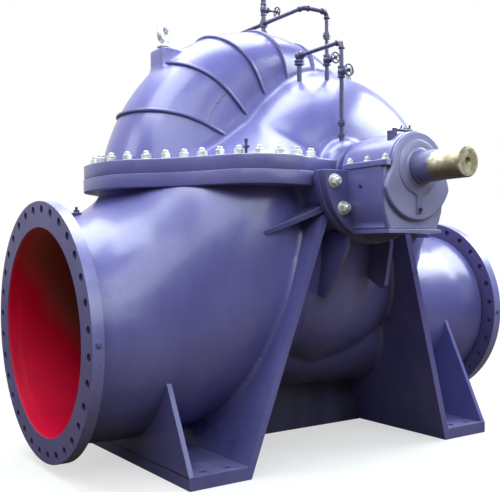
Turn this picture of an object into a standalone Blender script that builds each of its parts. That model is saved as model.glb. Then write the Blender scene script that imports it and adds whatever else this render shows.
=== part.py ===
"""Double-suction centrifugal pump with an axially split casing.

Metres, +Z up. The origin is on the floor, under the middle of the shaft.
+X runs along the pipes from suction to discharge, and the driven end of the
shaft points to -Y. The casing is symmetric about the plane y = 0, apart from
the bearing cover of the free end, which is closed.
"""
import math

import bmesh
import bpy
from mathutils import Matrix, Vector

# Main layout
PIPE_Z = 0.79
SHAFT_Z = 1.68
SUCTION_X = -1.63
DISCHARGE_X = 1.55
GAP = 0.0003
BIG = 4.0

# Suction and discharge flanges
SUCTION_R = 0.7425
SUCTION_THICK = 0.065
SUCTION_BORE_R = 0.597
SUCTION_NECK_R = 0.64
SUCTION_PITCH_R = 0.695
SUCTION_HOLES = 32
SUCTION_HOLE_R = 0.0245
DISCHARGE_R = 0.65
DISCHARGE_THICK = 0.066
DISCHARGE_BORE_R = 0.47
DISCHARGE_NECK_R = 0.515
DISCHARGE_PITCH_R = 0.605
DISCHARGE_HOLES = 28
DISCHARGE_HOLE_R = 0.021
WALL = 0.045

# Volute: a spiral whose outer radius grows evenly with the angle
VOLUTE_START_R = 0.85
VOLUTE_RISE = 0.12
VOLUTE_CURVE = 0.245
VOLUTE_LOWER_RISE = 0.28
VOLUTE_FIRST = -15
VOLUTE_LAST = 275
VOLUTE_INNER_R = 0.25
VOLUTE_HALF_WIDTH = 0.15
VOLUTE_WIDENING = 0.235
VOLUTE_ROUNDING = 1.05

# Ribs on the volute
RIB_COUNT = 7
RIB_FIRST = 37.6
RIB_STEP = 20.0
RIB_HEIGHT = 0.014
RIB_THICK = 0.022

# Lifting lugs (x from, x to, z from, z to) and their eye bolts
LUG_HALF_Y = 0.05
LUGS = [(-0.853, -0.733, 2.2, 2.465), (0.62, 0.74, 2.05, 2.40)]
EYE_R = 0.042
EYE_WIRE_R = 0.014
EYE_SHANK = 0.05

# Suction chambers, around the volute: widest radius and half width at angles from +X towards +Z
CHAMBER_HALF_WIDTHS = [(-90, 0.86), (-40, 0.86), (0, 0.75), (30, 0.72), (150, 0.72), (180, 0.75),
                       (220, 0.82), (270, 0.86)]
CHAMBER_POLE_Y = 0.75
CHAMBER_FULLNESS = 2.6
CHAMBER_RADII = [(-90, 1.22), (-45, 1.16), (0, 1.08), (25, 1.03), (40, 0.93), (60, 0.80), (80, 0.74),
                 (100, 0.70), (120, 0.64), (140, 0.60), (160, 0.60), (180, 0.66), (200, 0.80),
                 (230, 1.0), (270, 1.22)]

# Skirt between the split flange and the domes: height and scale of its outlines
SKIRT_INSET = 0.13
SKIRT_LEVELS = [(1.63, 1.0), (1.76, 0.99), (1.80, 0.92), (1.86, 0.78), (1.93, 0.62), (2.03, 0.46)]

# Suction duct: x, half width, bottom, level of the widest part, top, exponent of the upper half
DUCT_STATIONS = [(-1.60, 0.64, 0.15, 0.79, 1.43, 2.0), (-1.40, 0.645, 0.135, 0.80, 1.455, 2.0),
                 (-1.22, 0.655, 0.13, 0.82, 1.55, 2.3), (-1.08, 0.69, 0.135, 0.86, 1.68, 2.7),
                 (-0.90, 0.765, 0.15, 0.95, 1.82, 3.3), (-0.65, 0.80, 0.20, 1.05, 1.90, 4.0),
                 (-0.40, 0.78, 0.32, 1.10, 1.90, 4.0), (-0.15, 0.70, 0.50, 1.20, 1.90, 4.0)]
DUCT_END_X = -0.90
BRANCH_START_X = 0.95
BRANCH_RISE = 0.035

# Split flange
SPLIT_HALF_THICK = 0.08
SPLIT_TIP_X = 1.30
SPLIT_RIGHT_SCALE = 0.94

# Feet
FOOT_INNER_X = 0.765
FOOT_OUTER_X = 1.155
FOOT_HALF_Y = 0.846
FOOT_PLATE_THICK = 0.075
INNER_WEB_THICK = 0.045
OUTER_WEB_THICK = 0.03
INNER_WEB_TOP_X = 0.33
INNER_WEB_TOP_Y = 0.92
INNER_WEB_TOP_Z = 1.36
OUTER_WEB_TOP_Y = 0.50
OUTER_WEB_TOP_Z = 0.76
CENTRE_WEB_THICK = 0.05
CENTRE_WEB_TOP_Z = 0.60
ANCHOR_HOLE_R = 0.022
ANCHOR_HOLE_Y = 0.775
ANCHOR_HOLE_SPREAD = 0.075

# Bearing brackets, on both sides
BRACKET_FACE_Y = 0.98
BRACKET_FLANGE_R = 0.415
BRACKET_FLANGE_THICK = 0.045
BRACKET_NECK_R = 0.36
BRACKET_RIB_X = 0.18
BRACKET_RIB_THICK = 0.03
BRACKET_RIB_LEFT = [(0.60, 1.35), (0.975, 1.35), (0.975, 1.27), (0.765, 0.95), (0.60, 0.95)]
BRACKET_RIB_RIGHT = [(0.60, 1.35), (0.945, 1.35), (0.945, 1.28), (0.85, 0.99), (0.66, 1.13)]
HOUSING_END_Y = 1.30
HOUSING_HALF_WIDTH = 0.235
HOUSING_R = 0.265
HOUSING_BASE_Z = 1.335
HOUSING_BASE_HALF_WIDTH = 0.187
HOUSING_BASE_THICK = 0.024
CAP_R = 0.195
CAP_BACK_Y = 0.875
CAP_LEDGE_THICK = 0.035
COVER_THICK = 0.028
COVER_TOP_R = 0.2
COVER_LOW_R = 0.25
COVER_BOSS_R = 0.14
COVER_BOSS_THICK = 0.02
STUFFING_R = 0.205
STUFFING_BACK_Y = 0.60
STUFFING_FRONT_Y = 0.86

# Shaft
SHAFT_R = 0.085
SHAFT_END_R = 0.073
SHAFT_END_Y = 1.66
SHAFT_STEP_Y = 1.40
FREE_END_Y = 1.27
SHAFT_CLEARANCE = 0.006
JOURNAL_CLEARANCE = 0.0005
KEYWAY_WIDTH = 0.036
KEYWAY_DEPTH = 0.02
KEYWAY_LENGTH = 0.20

# Small pipework
PIPE_R = 0.0125
VALVE_R = 0.024
UNION_R = 0.025
WHEEL_R = 0.032
WHEEL_RIM_R = 0.005
VALVE_HALF = 0.035
UNION_HALF = 0.018
TEE_R = 0.022
BOSS_R = 0.026
VENT_X = -0.085
VENT_Y = -0.03
VENT_BASE_Z = 2.665
VENT_TOP_Z = 2.88
BALANCE_TOP_Z = 2.725
BALANCE_DROP_X = 0.10
BALANCE_DROP_Y = 0.45
BALANCE_VALVE_Z = 2.43
BALANCE_END_Z = 2.36
FLUSH_X = -0.04
FLUSH_START_Y = 0.35
FLUSH_START_Z = 2.39
FLUSH_TOP_Z = 2.46
FLUSH_DROP_Y = 0.751
FLUSH_VALVE_Z = 2.285
FLUSH_UNION_Z = 1.99
FLUSH_END_Z = 1.905

PAINT = (0.13, 0.12, 0.40, 1.0)
STEEL = (0.55, 0.50, 0.38, 1.0)
ZINC = (0.75, 0.72, 0.60, 1.0)

MATERIALS = {}


def clear_scene():
    for item in list(bpy.data.objects):
        bpy.data.objects.remove(item)


def new_collection(name):
    group = bpy.data.collections.new(name)
    bpy.context.scene.collection.children.link(group)
    return group


def make_material(name, colour, roughness, metallic):
    material = bpy.data.materials.new(name)
    material.use_nodes = True
    shader = material.node_tree.nodes["Principled BSDF"]
    shader.inputs["Base Color"].default_value = colour
    shader.inputs["Roughness"].default_value = roughness
    shader.inputs["Metallic"].default_value = metallic
    material.diffuse_color = colour
    MATERIALS[name] = material


def add_object(name, mesh, material, group):
    item = bpy.data.objects.new(name, mesh)
    item.data.materials.append(MATERIALS[material])
    group.objects.link(item)
    return item


def mesh_from(bm, name):
    bmesh.ops.recalc_face_normals(bm, faces=bm.faces)
    mesh = bpy.data.meshes.new(name)
    bm.to_mesh(mesh)
    bm.free()
    return mesh


def as_cutter(item):
    item.hide_render = True
    item.display_type = "WIRE"
    return item


def show(item):
    item.hide_render = False
    item.display_type = "TEXTURED"


def boolean(target, other, operation):
    modifier = target.modifiers.new(operation.title(), "BOOLEAN")
    modifier.operation = operation
    modifier.object = other
    modifier.solver = "EXACT"


def box(name, low, high, group, material="paint"):
    bm = bmesh.new()
    bmesh.ops.create_cube(bm, size=1.0)
    size = [high[i] - low[i] for i in range(3)]
    middle = [(high[i] + low[i]) / 2 for i in range(3)]
    bmesh.ops.scale(bm, vec=size, verts=bm.verts)
    bmesh.ops.translate(bm, vec=middle, verts=bm.verts)
    return add_object(name, mesh_from(bm, name), material, group)


def along(axis):
    """Turn a shape whose axis is Z so that it lies along the given axis."""
    return Vector((0, 0, 1)).rotation_difference(Vector(axis)).to_matrix().to_4x4()


def cylinder(name, start, end, radius, group, material="paint", sides=32, end_radius=None):
    start = Vector(start)
    end = Vector(end)
    bm = bmesh.new()
    bmesh.ops.create_cone(bm, cap_ends=True, segments=sides, radius1=radius,
                          radius2=radius if end_radius is None else end_radius,
                          depth=(end - start).length)
    place = Matrix.Translation((start + end) / 2) @ along((end - start).normalized())
    bmesh.ops.transform(bm, matrix=place, verts=bm.verts)
    return add_object(name, mesh_from(bm, name), material, group)


def loft(name, rings, group, material="paint", pointed=False):
    """Skin a closed surface over rings that all have the same number of points."""
    bm = bmesh.new()
    loops = [[bm.verts.new(point) for point in ring] for ring in rings]
    count = len(loops[0])
    for first, second in zip(loops, loops[1:]):
        for i in range(count):
            j = (i + 1) % count
            bm.faces.new((first[i], first[j], second[j], second[i]))
    bmesh.ops.triangulate(bm, faces=bm.faces[:], quad_method="FIXED")
    caps = [bm.faces.new(loops[0][::-1]), bm.faces.new(loops[-1])]
    if pointed:
        bmesh.ops.poke(bm, faces=caps)
    return add_object(name, mesh_from(bm, name), material, group)


def unite(target, others):
    for other in others:
        boolean(target, other, "UNION")


def cut(target, others):
    for other in others:
        boolean(target, other, "DIFFERENCE")


def signed_power(value, power):
    return math.copysign(abs(value) ** power, value)


def lobe_ring(count, exponent, right, up, left, down, upper_exponent=None):
    """Points of a superellipse whose four half axes may differ, in its own plane."""
    ring = []
    for i in range(count):
        angle = math.tau * i / count
        power = 2 / (upper_exponent if upper_exponent and math.sin(angle) > 0 else exponent)
        across = signed_power(math.cos(angle), power)
        upward = signed_power(math.sin(angle), power)
        across *= right if across > 0 else left
        upward *= up if upward > 0 else down
        ring.append((across, upward))
    return ring


def between(table, at):
    """Value at a place, eased between the two nearest entries of a table."""
    for (low, first), (high, second) in zip(table, table[1:]):
        if low <= at <= high:
            return first + (second - first) * (at - low) / (high - low)
    return table[-1][1]


def spiral_radius(degrees):
    """Outer radius of the volute, from the shaft's axis, at an angle from +X towards +Z."""
    turn = degrees / 180
    if turn <= 1:
        return VOLUTE_START_R + VOLUTE_RISE * turn + VOLUTE_CURVE * turn ** 2
    return VOLUTE_START_R + VOLUTE_RISE + VOLUTE_CURVE + VOLUTE_LOWER_RISE * (turn - 1)


def volute_section(degrees, grow=0.0, shift=0.0):
    """Ring of the volute in the radial plane at an angle, moved along the spiral by shift."""
    half_width = VOLUTE_HALF_WIDTH + VOLUTE_WIDENING * degrees / 180 + grow
    outer = spiral_radius(degrees) + grow
    depth = VOLUTE_ROUNDING * half_width
    middle = outer - depth
    angle = math.radians(degrees)
    radial = Vector((math.cos(angle), 0, math.sin(angle)))
    tangent = Vector((-math.sin(angle), 0, math.cos(angle)))
    centre = Vector((0, 0, SHAFT_Z)) + tangent * shift
    ring = lobe_ring(32, 2.1, half_width, depth, half_width, middle - VOLUTE_INNER_R)
    return [centre + radial * (middle + up) + Vector((0, -across, 0)) for across, up in ring]


def volute_form(group, grow=0.0):
    steps = 25
    span = VOLUTE_LAST - VOLUTE_FIRST
    angles = [VOLUTE_FIRST + span * i / (steps - 1) for i in range(steps)]
    return as_cutter(loft("volute_form", [volute_section(a, grow) for a in angles], group))


def chamber_form(group, grow=0.0):
    """Suction chamber on both sides of the volute, a spiral that widens towards the duct."""
    rings = []
    steps = 16
    count = 40
    for i in range(steps + 1):
        t = math.cos(math.pi * i / steps)
        scale = max(1 - abs(t) ** CHAMBER_FULLNESS, 0.0) ** (1 / CHAMBER_FULLNESS)
        scale = max(scale, 0.12)
        ring = []
        for k in range(count):
            degrees = -90 + 360 * k / count
            radius = between(CHAMBER_RADII, degrees) * scale + grow
            angle = math.radians(degrees)
            bulge = between(CHAMBER_HALF_WIDTHS, degrees) - CHAMBER_POLE_Y
            half_width = CHAMBER_POLE_Y + bulge * scale + grow
            ring.append(Vector((radius * math.cos(angle), -half_width * t,
                                SHAFT_Z + radius * math.sin(angle))))
        rings.append(ring)
    return as_cutter(loft("chamber_form", rings, group, pointed=True))


def duct_station(x):
    """Half width, bottom, widest level, top and upper exponent of the suction duct at x."""
    columns = [[(station[0], station[k]) for station in DUCT_STATIONS] for k in range(1, 6)]
    return [between(column, x) for column in columns]


def duct_ring(x, shrink=0.0):
    half_width, low, middle, high, exponent = duct_station(x)
    ring = lobe_ring(40, 2.0, half_width - shrink, high - middle - shrink, half_width - shrink,
                     middle - low - shrink, exponent)
    return [Vector((x, -across, middle + up)) for across, up in ring]


def duct_form(name, first_x, last_x, shrink, group):
    """Suction duct, from its round neck to the wide part that feeds both chambers."""
    places = [first_x] + [station[0] for station in DUCT_STATIONS if first_x < station[0] < last_x]
    rings = [duct_ring(x, shrink) for x in places + [last_x]]
    return as_cutter(loft(name, rings, group))


def branch_form(name, first_x, last_x, radius, group):
    """Discharge branch, which rises a little towards the volute."""
    rings = []
    for x in (first_x, last_x):
        middle = PIPE_Z + BRANCH_RISE * (DISCHARGE_X - x)
        ring = lobe_ring(48, 2.0, radius, radius, radius, radius)
        rings.append([Vector((x, -across, middle + up)) for across, up in ring])
    return as_cutter(loft(name, rings, group))


def turned(name, profile, origin, axis, group, material="paint", steps=48):
    """Turn a closed profile of (radius, distance along the axis) about that axis."""
    bm = bmesh.new()
    loop = [bm.verts.new((radius, 0, distance)) for radius, distance in profile]
    edges = [bm.edges.new(pair) for pair in zip(loop, loop[1:])]
    bmesh.ops.spin(bm, geom=loop + edges, cent=(0, 0, 0), axis=(0, 0, 1), angle=math.tau,
                   steps=steps, use_merge=True)
    bmesh.ops.remove_doubles(bm, verts=bm.verts, dist=0.0001)
    place = Matrix.Translation(Vector(origin)) @ along(axis)
    bmesh.ops.transform(bm, matrix=place, verts=bm.verts)
    return add_object(name, mesh_from(bm, name), material, group)


def outline_plate(name, outline, low, high, group, material="paint", plane="XY"):
    """Plate with the given outline in a plane, from low to high across that plane."""
    place = {
        "XY": lambda a, b, c: (a, b, c),
        "XZ": lambda a, b, c: (a, c, b),
        "YZ": lambda a, b, c: (c, a, b),
    }[plane]
    rings = [[Vector(place(a, b, level)) for a, b in outline] for level in (low, high)]
    return loft(name, rings, group, material)


def split_outline(grow=0.0):
    """Plan of the split flange: a rounded tip at each end and a lobe over each chamber."""
    quarter = [(SPLIT_TIP_X, 0.0), (1.285, 0.17), (1.215, 0.30), (1.105, 0.395),
               (1.015, 0.50), (0.945, 0.615), (0.885, 0.735), (0.815, 0.835),
               (0.725, 0.90), (0.61, 0.93), (0.475, 0.93), (0.33, 0.885), (0.2, 0.85), (0.0, 0.85)]
    left = [(-x - grow, -y - (grow if y else 0)) for x, y in quarter]
    right = [((x + grow) * SPLIT_RIGHT_SCALE, -y - (grow if y else 0)) for x, y in quarter[-2::-1]]
    near = left + right
    far = [(x, -y) for x, y in near[-2:0:-1]]
    return near + far


def skirt_form(guides):
    """Sloping foot of the upper casing, inside the bolts of the split flange."""
    outline = split_outline(-SKIRT_INSET)
    rings = [[Vector((x * scale, y * scale, z)) for x, y in outline] for z, scale in SKIRT_LEVELS]
    return as_cutter(loft("skirt_form", rings, guides))


def clearances(guides):
    """Volute, chambers, duct and branch with room around them, to cut what stands against them."""
    return [volute_form(guides, GAP),
            chamber_form(guides, GAP),
            duct_form("duct_clearance", -1.5, DUCT_STATIONS[-1][0], -GAP, guides),
            branch_form("branch_clearance", 0.1, 1.5, DISCHARGE_NECK_R + GAP, guides)]


def build_casing(parts, guides):
    forms = [volute_form(guides),
             chamber_form(guides),
             duct_form("duct_form", DUCT_END_X, DUCT_STATIONS[-1][0], 0.0, guides),
             branch_form("branch_root_form", 0.1, BRANCH_START_X, DISCHARGE_NECK_R, guides)]
    above = as_cutter(box("above_split", (-BIG, -BIG, SHAFT_Z), (BIG, BIG, BIG), guides))
    below = as_cutter(box("below_split", (-BIG, -BIG, -BIG), (BIG, BIG, SHAFT_Z + GAP), guides))
    bore = as_cutter(cylinder("shaft_bore", (0, -BIG, SHAFT_Z), (0, BIG, SHAFT_Z),
                              SHAFT_R + SHAFT_CLEARANCE, guides))
    lower = outline_plate("lower_casing", split_outline(), SHAFT_Z - SPLIT_HALF_THICK, SHAFT_Z + 0.1,
                          parts)
    unite(lower, forms + brackets(guides) + gussets(guides))
    cut(lower, [above, bore])
    upper = outline_plate("upper_casing", split_outline(), SHAFT_Z - 0.1, SHAFT_Z + SPLIT_HALF_THICK,
                          parts)
    unite(upper, forms[:2] + [skirt_form(guides)] + ribs(guides) + lugs(guides))
    unite(upper, seal_domes(guides) + pipe_bosses(guides))
    cut(upper, [below, bore])
    return lower, upper


def build_branches(parts, guides, clearance):
    """Suction duct, discharge branch and their drilled flanges."""
    split_plate = as_cutter(outline_plate("split_clearance", split_outline(GAP),
                                          SHAFT_Z - SPLIT_HALF_THICK - GAP, BIG, guides))
    flange_back = SUCTION_X + SUCTION_THICK
    suction_hollow = duct_form("suction_hollow", DUCT_STATIONS[0][0], DUCT_END_X + 0.1, WALL, guides)
    duct = duct_form("suction_duct", flange_back + GAP, DUCT_END_X - GAP, 0.0, parts)
    show(duct)
    cut(duct, [suction_hollow, split_plate] + clearance[:2])
    flange = cylinder("suction_flange", (SUCTION_X, 0, PIPE_Z), (flange_back, 0, PIPE_Z), SUCTION_R,
                      parts, sides=64)
    mouth = as_cutter(cylinder("suction_mouth", (SUCTION_X - 0.1, 0, PIPE_Z), (flange_back + 0.1, 0, PIPE_Z),
                               SUCTION_BORE_R, guides, sides=40))
    cut(flange, [mouth, flange_holes("suction_bolt_holes", SUCTION_X + SUCTION_THICK / 2,
                                     SUCTION_PITCH_R, SUCTION_HOLES, SUCTION_HOLE_R,
                                     SUCTION_THICK, guides)])

    flange_back = DISCHARGE_X - DISCHARGE_THICK
    branch_hollow = branch_form("discharge_hollow", BRANCH_START_X - 0.1, DISCHARGE_X + 0.1,
                                DISCHARGE_BORE_R, guides)
    branch = branch_form("discharge_branch", BRANCH_START_X + GAP, flange_back - GAP,
                         DISCHARGE_NECK_R, parts)
    show(branch)
    cut(branch, [branch_hollow] + clearance[:2])
    flange = cylinder("discharge_flange", (flange_back, 0, PIPE_Z), (DISCHARGE_X, 0, PIPE_Z), DISCHARGE_R,
                      parts, sides=56)
    cut(flange, [branch_hollow, flange_holes("discharge_bolt_holes", DISCHARGE_X - DISCHARGE_THICK / 2,
                                             DISCHARGE_PITCH_R, DISCHARGE_HOLES, DISCHARGE_HOLE_R,
                                             DISCHARGE_THICK, guides)])


def leaning_web(name, low, high, thick, group):
    """Web across the pump from (x, half width, z) low to high, with its edges cut at a slope."""
    bm = bmesh.new()
    bmesh.ops.create_cube(bm, size=1.0)
    for vert in bm.verts:
        x, half_width, z = high if vert.co.z > 0 else low
        vert.co = Vector((x + math.copysign(thick / 2, vert.co.x),
                          math.copysign(half_width, vert.co.y), z))
    return add_object(name, mesh_from(bm, name), "paint", group)


def build_feet(parts, guides, clearance):
    """Both feet, each with two webs that reach up to the casing, and the web between them."""
    for side, name in ((-1, "suction"), (1, "discharge")):
        inner = side * (FOOT_INNER_X + INNER_WEB_THICK / 2)
        outer = side * (FOOT_OUTER_X - OUTER_WEB_THICK / 2)
        edges = sorted((side * FOOT_INNER_X, side * FOOT_OUTER_X))
        foot = box(name + "_foot", (edges[0], -FOOT_HALF_Y, 0), (edges[1], FOOT_HALF_Y, FOOT_PLATE_THICK),
                   parts)
        inner_web = leaning_web(name + "_inner_web", (inner, FOOT_HALF_Y, 0.0),
                                (side * INNER_WEB_TOP_X, INNER_WEB_TOP_Y, INNER_WEB_TOP_Z),
                                INNER_WEB_THICK, guides)
        outer_web = leaning_web(name + "_outer_web", (outer, FOOT_HALF_Y, FOOT_PLATE_THICK - 0.01),
                                (outer, OUTER_WEB_TOP_Y, OUTER_WEB_TOP_Z), OUTER_WEB_THICK, guides)
        unite(foot, [as_cutter(inner_web), as_cutter(outer_web)])
        near = clearance[:2] + [clearance[2 if side < 0 else 3]]
        cut(foot, near + bracket_clearance(guides) + [anchor_holes(side, guides)])
    low_x = FOOT_INNER_X - GAP
    lean = (FOOT_INNER_X + INNER_WEB_THICK / 2 - INNER_WEB_TOP_X) / INNER_WEB_TOP_Z
    high_x = low_x - lean * CENTRE_WEB_TOP_Z
    outline = [(-low_x, 0), (low_x, 0), (high_x, CENTRE_WEB_TOP_Z), (-high_x, CENTRE_WEB_TOP_Z)]
    middle = outline_plate("centre_web", outline, -CENTRE_WEB_THICK / 2, CENTRE_WEB_THICK / 2, parts,
                           plane="XZ")
    cut(middle, clearance)


def anchor_holes(side, guides):
    """Two anchor bolt holes at each end of one foot."""
    middle = side * (FOOT_INNER_X + FOOT_OUTER_X) / 2
    places = [(middle + step * ANCHOR_HOLE_SPREAD, end * ANCHOR_HOLE_Y, 0)
              for end in (-1, 1) for step in (-1, 1)]
    return hole_set("anchor_holes", places, (0, 0, 1), ANCHOR_HOLE_R, 3 * FOOT_PLATE_THICK, 12, guides)


def flange_holes(name, x, pitch_r, count, radius, thick, guides):
    """Bolt holes of a pipe flange, with none of them straight above the pipe axis."""
    angles = [math.tau * (i + 0.5) / count for i in range(count)]
    places = [(x, pitch_r * math.cos(a), PIPE_Z + pitch_r * math.sin(a)) for a in angles]
    return hole_set(name, places, (1, 0, 0), radius, thick + 0.02, 10, guides)


def half_disc(radius, count=24):
    """Outline in X and Z of the half disc under the split, centred on the shaft."""
    return [(radius * math.cos(math.pi * (1 + i / count)),
             SHAFT_Z + radius * math.sin(math.pi * (1 + i / count))) for i in range(count + 1)]


def brackets(guides):
    """Round neck and half flange of the lower casing that carry each bearing housing."""
    pieces = []
    for side, name in ((-1, "driven"), (1, "free")):
        neck = cylinder(name + "_neck_form", (0, side * 0.5, SHAFT_Z),
                        (0, side * (BRACKET_FACE_Y - 0.01), SHAFT_Z), BRACKET_NECK_R + 0.06, guides,
                        end_radius=BRACKET_NECK_R)
        faces = sorted((side * BRACKET_FACE_Y, side * (BRACKET_FACE_Y - BRACKET_FLANGE_THICK)))
        flange = outline_plate(name + "_half_flange_form", half_disc(BRACKET_FLANGE_R) +
                               [(BRACKET_FLANGE_R, SHAFT_Z + 0.02), (-BRACKET_FLANGE_R, SHAFT_Z + 0.02)],
                               faces[0], faces[1], guides, plane="XZ")
        pieces += [as_cutter(neck), as_cutter(flange)]
    return pieces


def bracket_clearance(guides):
    """Room round the bracket necks and ribs where the webs of the feet come close."""
    pieces = []
    for side in (-1, 1):
        neck = cylinder("neck_clearance", (0, side * 0.5, SHAFT_Z), (0, side * (BRACKET_FACE_Y + GAP), SHAFT_Z),
                        BRACKET_NECK_R + 0.06 + GAP, guides, end_radius=BRACKET_NECK_R + GAP)
        pieces.append(as_cutter(neck))
    return pieces


def gussets(guides):
    """Sloping ribs on the sides, from the belly up to each bracket flange."""
    pieces = []
    for side in (-1, 1):
        for end in (-1, 1):
            outline = [(end * 0.30, 1.50), (end * 0.665, 1.345), (end * 0.65, 1.315), (end * 0.30, 1.46)]
            levels = sorted((side * 0.55, side * 0.93))
            rib = outline_plate("gusset_form", outline, levels[0], levels[1], guides, plane="XZ")
            for vert in rib.data.vertices:
                if abs(vert.co.x) > 0.6 and abs(vert.co.y) > 0.8:
                    vert.co.y = side * 0.80
            pieces.append(as_cutter(rib))
        for x, outline in ((-BRACKET_RIB_X, BRACKET_RIB_LEFT), (BRACKET_RIB_X, BRACKET_RIB_RIGHT)):
            rib = outline_plate("bracket_rib_form", [(side * y, z) for y, z in outline],
                                x - BRACKET_RIB_THICK / 2, x + BRACKET_RIB_THICK / 2, guides, plane="YZ")
            pieces.append(as_cutter(rib))
    return pieces


def hole_set(name, places, axis, radius, depth, sides, guides):
    """One cutter with a round pin at each place."""
    bm = bmesh.new()
    for place in places:
        bmesh.ops.create_cone(bm, cap_ends=True, segments=sides, radius1=radius, radius2=radius,
                              depth=depth, matrix=Matrix.Translation(Vector(place)) @ along(axis))
    return as_cutter(add_object(name, mesh_from(bm, name), "paint", guides))


def ribs(guides):
    """Thin raised webs round the upper half of the volute."""
    pieces = []
    for i in range(RIB_COUNT):
        angle = RIB_FIRST + RIB_STEP * i
        rings = [volute_section(angle, RIB_HEIGHT, shift * RIB_THICK / 2) for shift in (-1, 1)]
        pieces.append(as_cutter(loft("rib_form", rings, guides)))
    return pieces


def lugs(guides):
    """Lifting lugs on the crest of the volute, one on each side of the shaft."""
    pieces = []
    for x_low, x_high, z_low, z_high in LUGS:
        lug = box("lug_form", (x_low, -LUG_HALF_Y, z_low), (x_high, LUG_HALF_Y, z_high), guides)
        pieces.append(as_cutter(lug))
    return pieces


def seal_domes(guides):
    """Upper halves of the stuffing boxes, round bulges on the outer walls of the chambers."""
    pieces = []
    for side in (-1, 1):
        profile = [(0.0, STUFFING_BACK_Y), (STUFFING_R + 0.045, STUFFING_BACK_Y),
                   (STUFFING_R + 0.01, STUFFING_FRONT_Y - 0.14), (STUFFING_R, STUFFING_FRONT_Y - 0.05),
                   (STUFFING_R - 0.04, STUFFING_FRONT_Y), (0.0, STUFFING_FRONT_Y)]
        pieces.append(as_cutter(turned("seal_dome_form", profile, (0, 0, SHAFT_Z), (0, side, 0),
                                       guides, steps=32)))
    return pieces


def pipe_bosses(guides):
    """Bosses of the upper casing that the small pipes screw into."""
    places = [(VENT_X, VENT_Y, VENT_BASE_Z - GAP, 0.10)]
    for side in (-1, 1):
        places.append((BALANCE_DROP_X, side * BALANCE_DROP_Y, BALANCE_END_Z - GAP, 0.10))
        places.append((FLUSH_X, side * FLUSH_START_Y, FLUSH_START_Z - GAP, 0.10))
        places.append((FLUSH_X, side * FLUSH_DROP_Y, FLUSH_END_Z - GAP, 0.06))
    pieces = []
    for x, y, z, depth in places:
        pieces.append(as_cutter(cylinder("boss_form", (x, y, z - depth), (x, y, z), BOSS_R, guides, sides=12)))
    return pieces


def build_bearing(side, name, parts, guides):
    """Bearing housing, cap and cover of one end. The housing and cap meet at the split."""
    back = BRACKET_FACE_Y + GAP
    end = HOUSING_END_Y
    bore = as_cutter(cylinder(name + "_journal_bore", (0, side * 0.5, SHAFT_Z),
                              (0, side * 2.0, SHAFT_Z), SHAFT_R + JOURNAL_CLEARANCE, guides,
                              sides=48))
    levels = sorted((side * back, side * (back + BRACKET_FLANGE_THICK)))
    housing = outline_plate(name + "_bearing_housing", half_disc(BRACKET_FLANGE_R - 0.02),
                            levels[0], levels[1], parts, plane="XZ")
    body = []
    for i in range(25):
        angle = math.pi * (1 + i / 24)
        body.append((HOUSING_HALF_WIDTH * math.cos(angle), SHAFT_Z - 0.06 + HOUSING_R * math.sin(angle)))
    body += [(HOUSING_HALF_WIDTH, SHAFT_Z), (-HOUSING_HALF_WIDTH, SHAFT_Z)]
    levels = sorted((side * back, side * end))
    barrel = as_cutter(outline_plate(name + "_barrel_form", body, levels[0], levels[1], guides,
                                     plane="XZ"))
    base = as_cutter(box(name + "_base_form", (-HOUSING_BASE_HALF_WIDTH, levels[0], HOUSING_BASE_Z),
                         (HOUSING_BASE_HALF_WIDTH, levels[1], HOUSING_BASE_Z + HOUSING_BASE_THICK),
                         guides))
    pedestal = as_cutter(box(name + "_pedestal_form",
                             (-HOUSING_BASE_HALF_WIDTH + 0.03, levels[0], HOUSING_BASE_Z),
                             (HOUSING_BASE_HALF_WIDTH - 0.03, levels[1], SHAFT_Z - 0.2), guides))
    unite(housing, [barrel, base, pedestal])
    cut(housing, [bore])

    levels = sorted((side * back, side * end))
    ledge = [(-HOUSING_HALF_WIDTH, SHAFT_Z + GAP), (HOUSING_HALF_WIDTH, SHAFT_Z + GAP),
             (HOUSING_HALF_WIDTH, SHAFT_Z + CAP_LEDGE_THICK), (-HOUSING_HALF_WIDTH, SHAFT_Z + CAP_LEDGE_THICK)]
    cap = outline_plate(name + "_bearing_cap", ledge, levels[0], levels[1], parts, plane="XZ")
    crown = as_cutter(cylinder(name + "_crown_form", (0, side * CAP_BACK_Y, SHAFT_Z),
                               (0, side * end, SHAFT_Z), CAP_R, guides, sides=40))
    below = as_cutter(box(name + "_cap_floor", (-1, -BIG, 0), (1, BIG, SHAFT_Z + GAP), guides))
    unite(cap, [crown])
    cut(cap, [below, bore])

    start = end + GAP
    levels = sorted((side * start, side * (start + COVER_THICK)))
    count = 24
    outline = [(COVER_TOP_R * math.cos(math.pi * i / count), SHAFT_Z + COVER_TOP_R * math.sin(math.pi * i / count))
               for i in range(count + 1)]
    outline += [(COVER_LOW_R * math.cos(math.pi * (1 + i / count)),
                 SHAFT_Z + 0.012 + COVER_LOW_R * 1.12 * math.sin(math.pi * (1 + i / count)))
                for i in range(count + 1)]
    cover = outline_plate(name + "_bearing_cover", outline, levels[0], levels[1], parts, plane="XZ")
    boss = as_cutter(cylinder(name + "_boss_form", (0, side * start, SHAFT_Z),
                              (0, side * (start + COVER_THICK + COVER_BOSS_THICK), SHAFT_Z),
                              COVER_BOSS_R, guides, sides=40))
    unite(cover, [boss])
    if side < 0:
        cut(cover, [bore])
    cup = box(name + "_grease_cup", (-0.03, min(side * 1.13, side * 1.20), SHAFT_Z + CAP_R - 0.001 + 0.0013),
              (0.03, max(side * 1.13, side * 1.20), SHAFT_Z + CAP_R + 0.04), parts)
    return housing, cap, cover, cup


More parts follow.
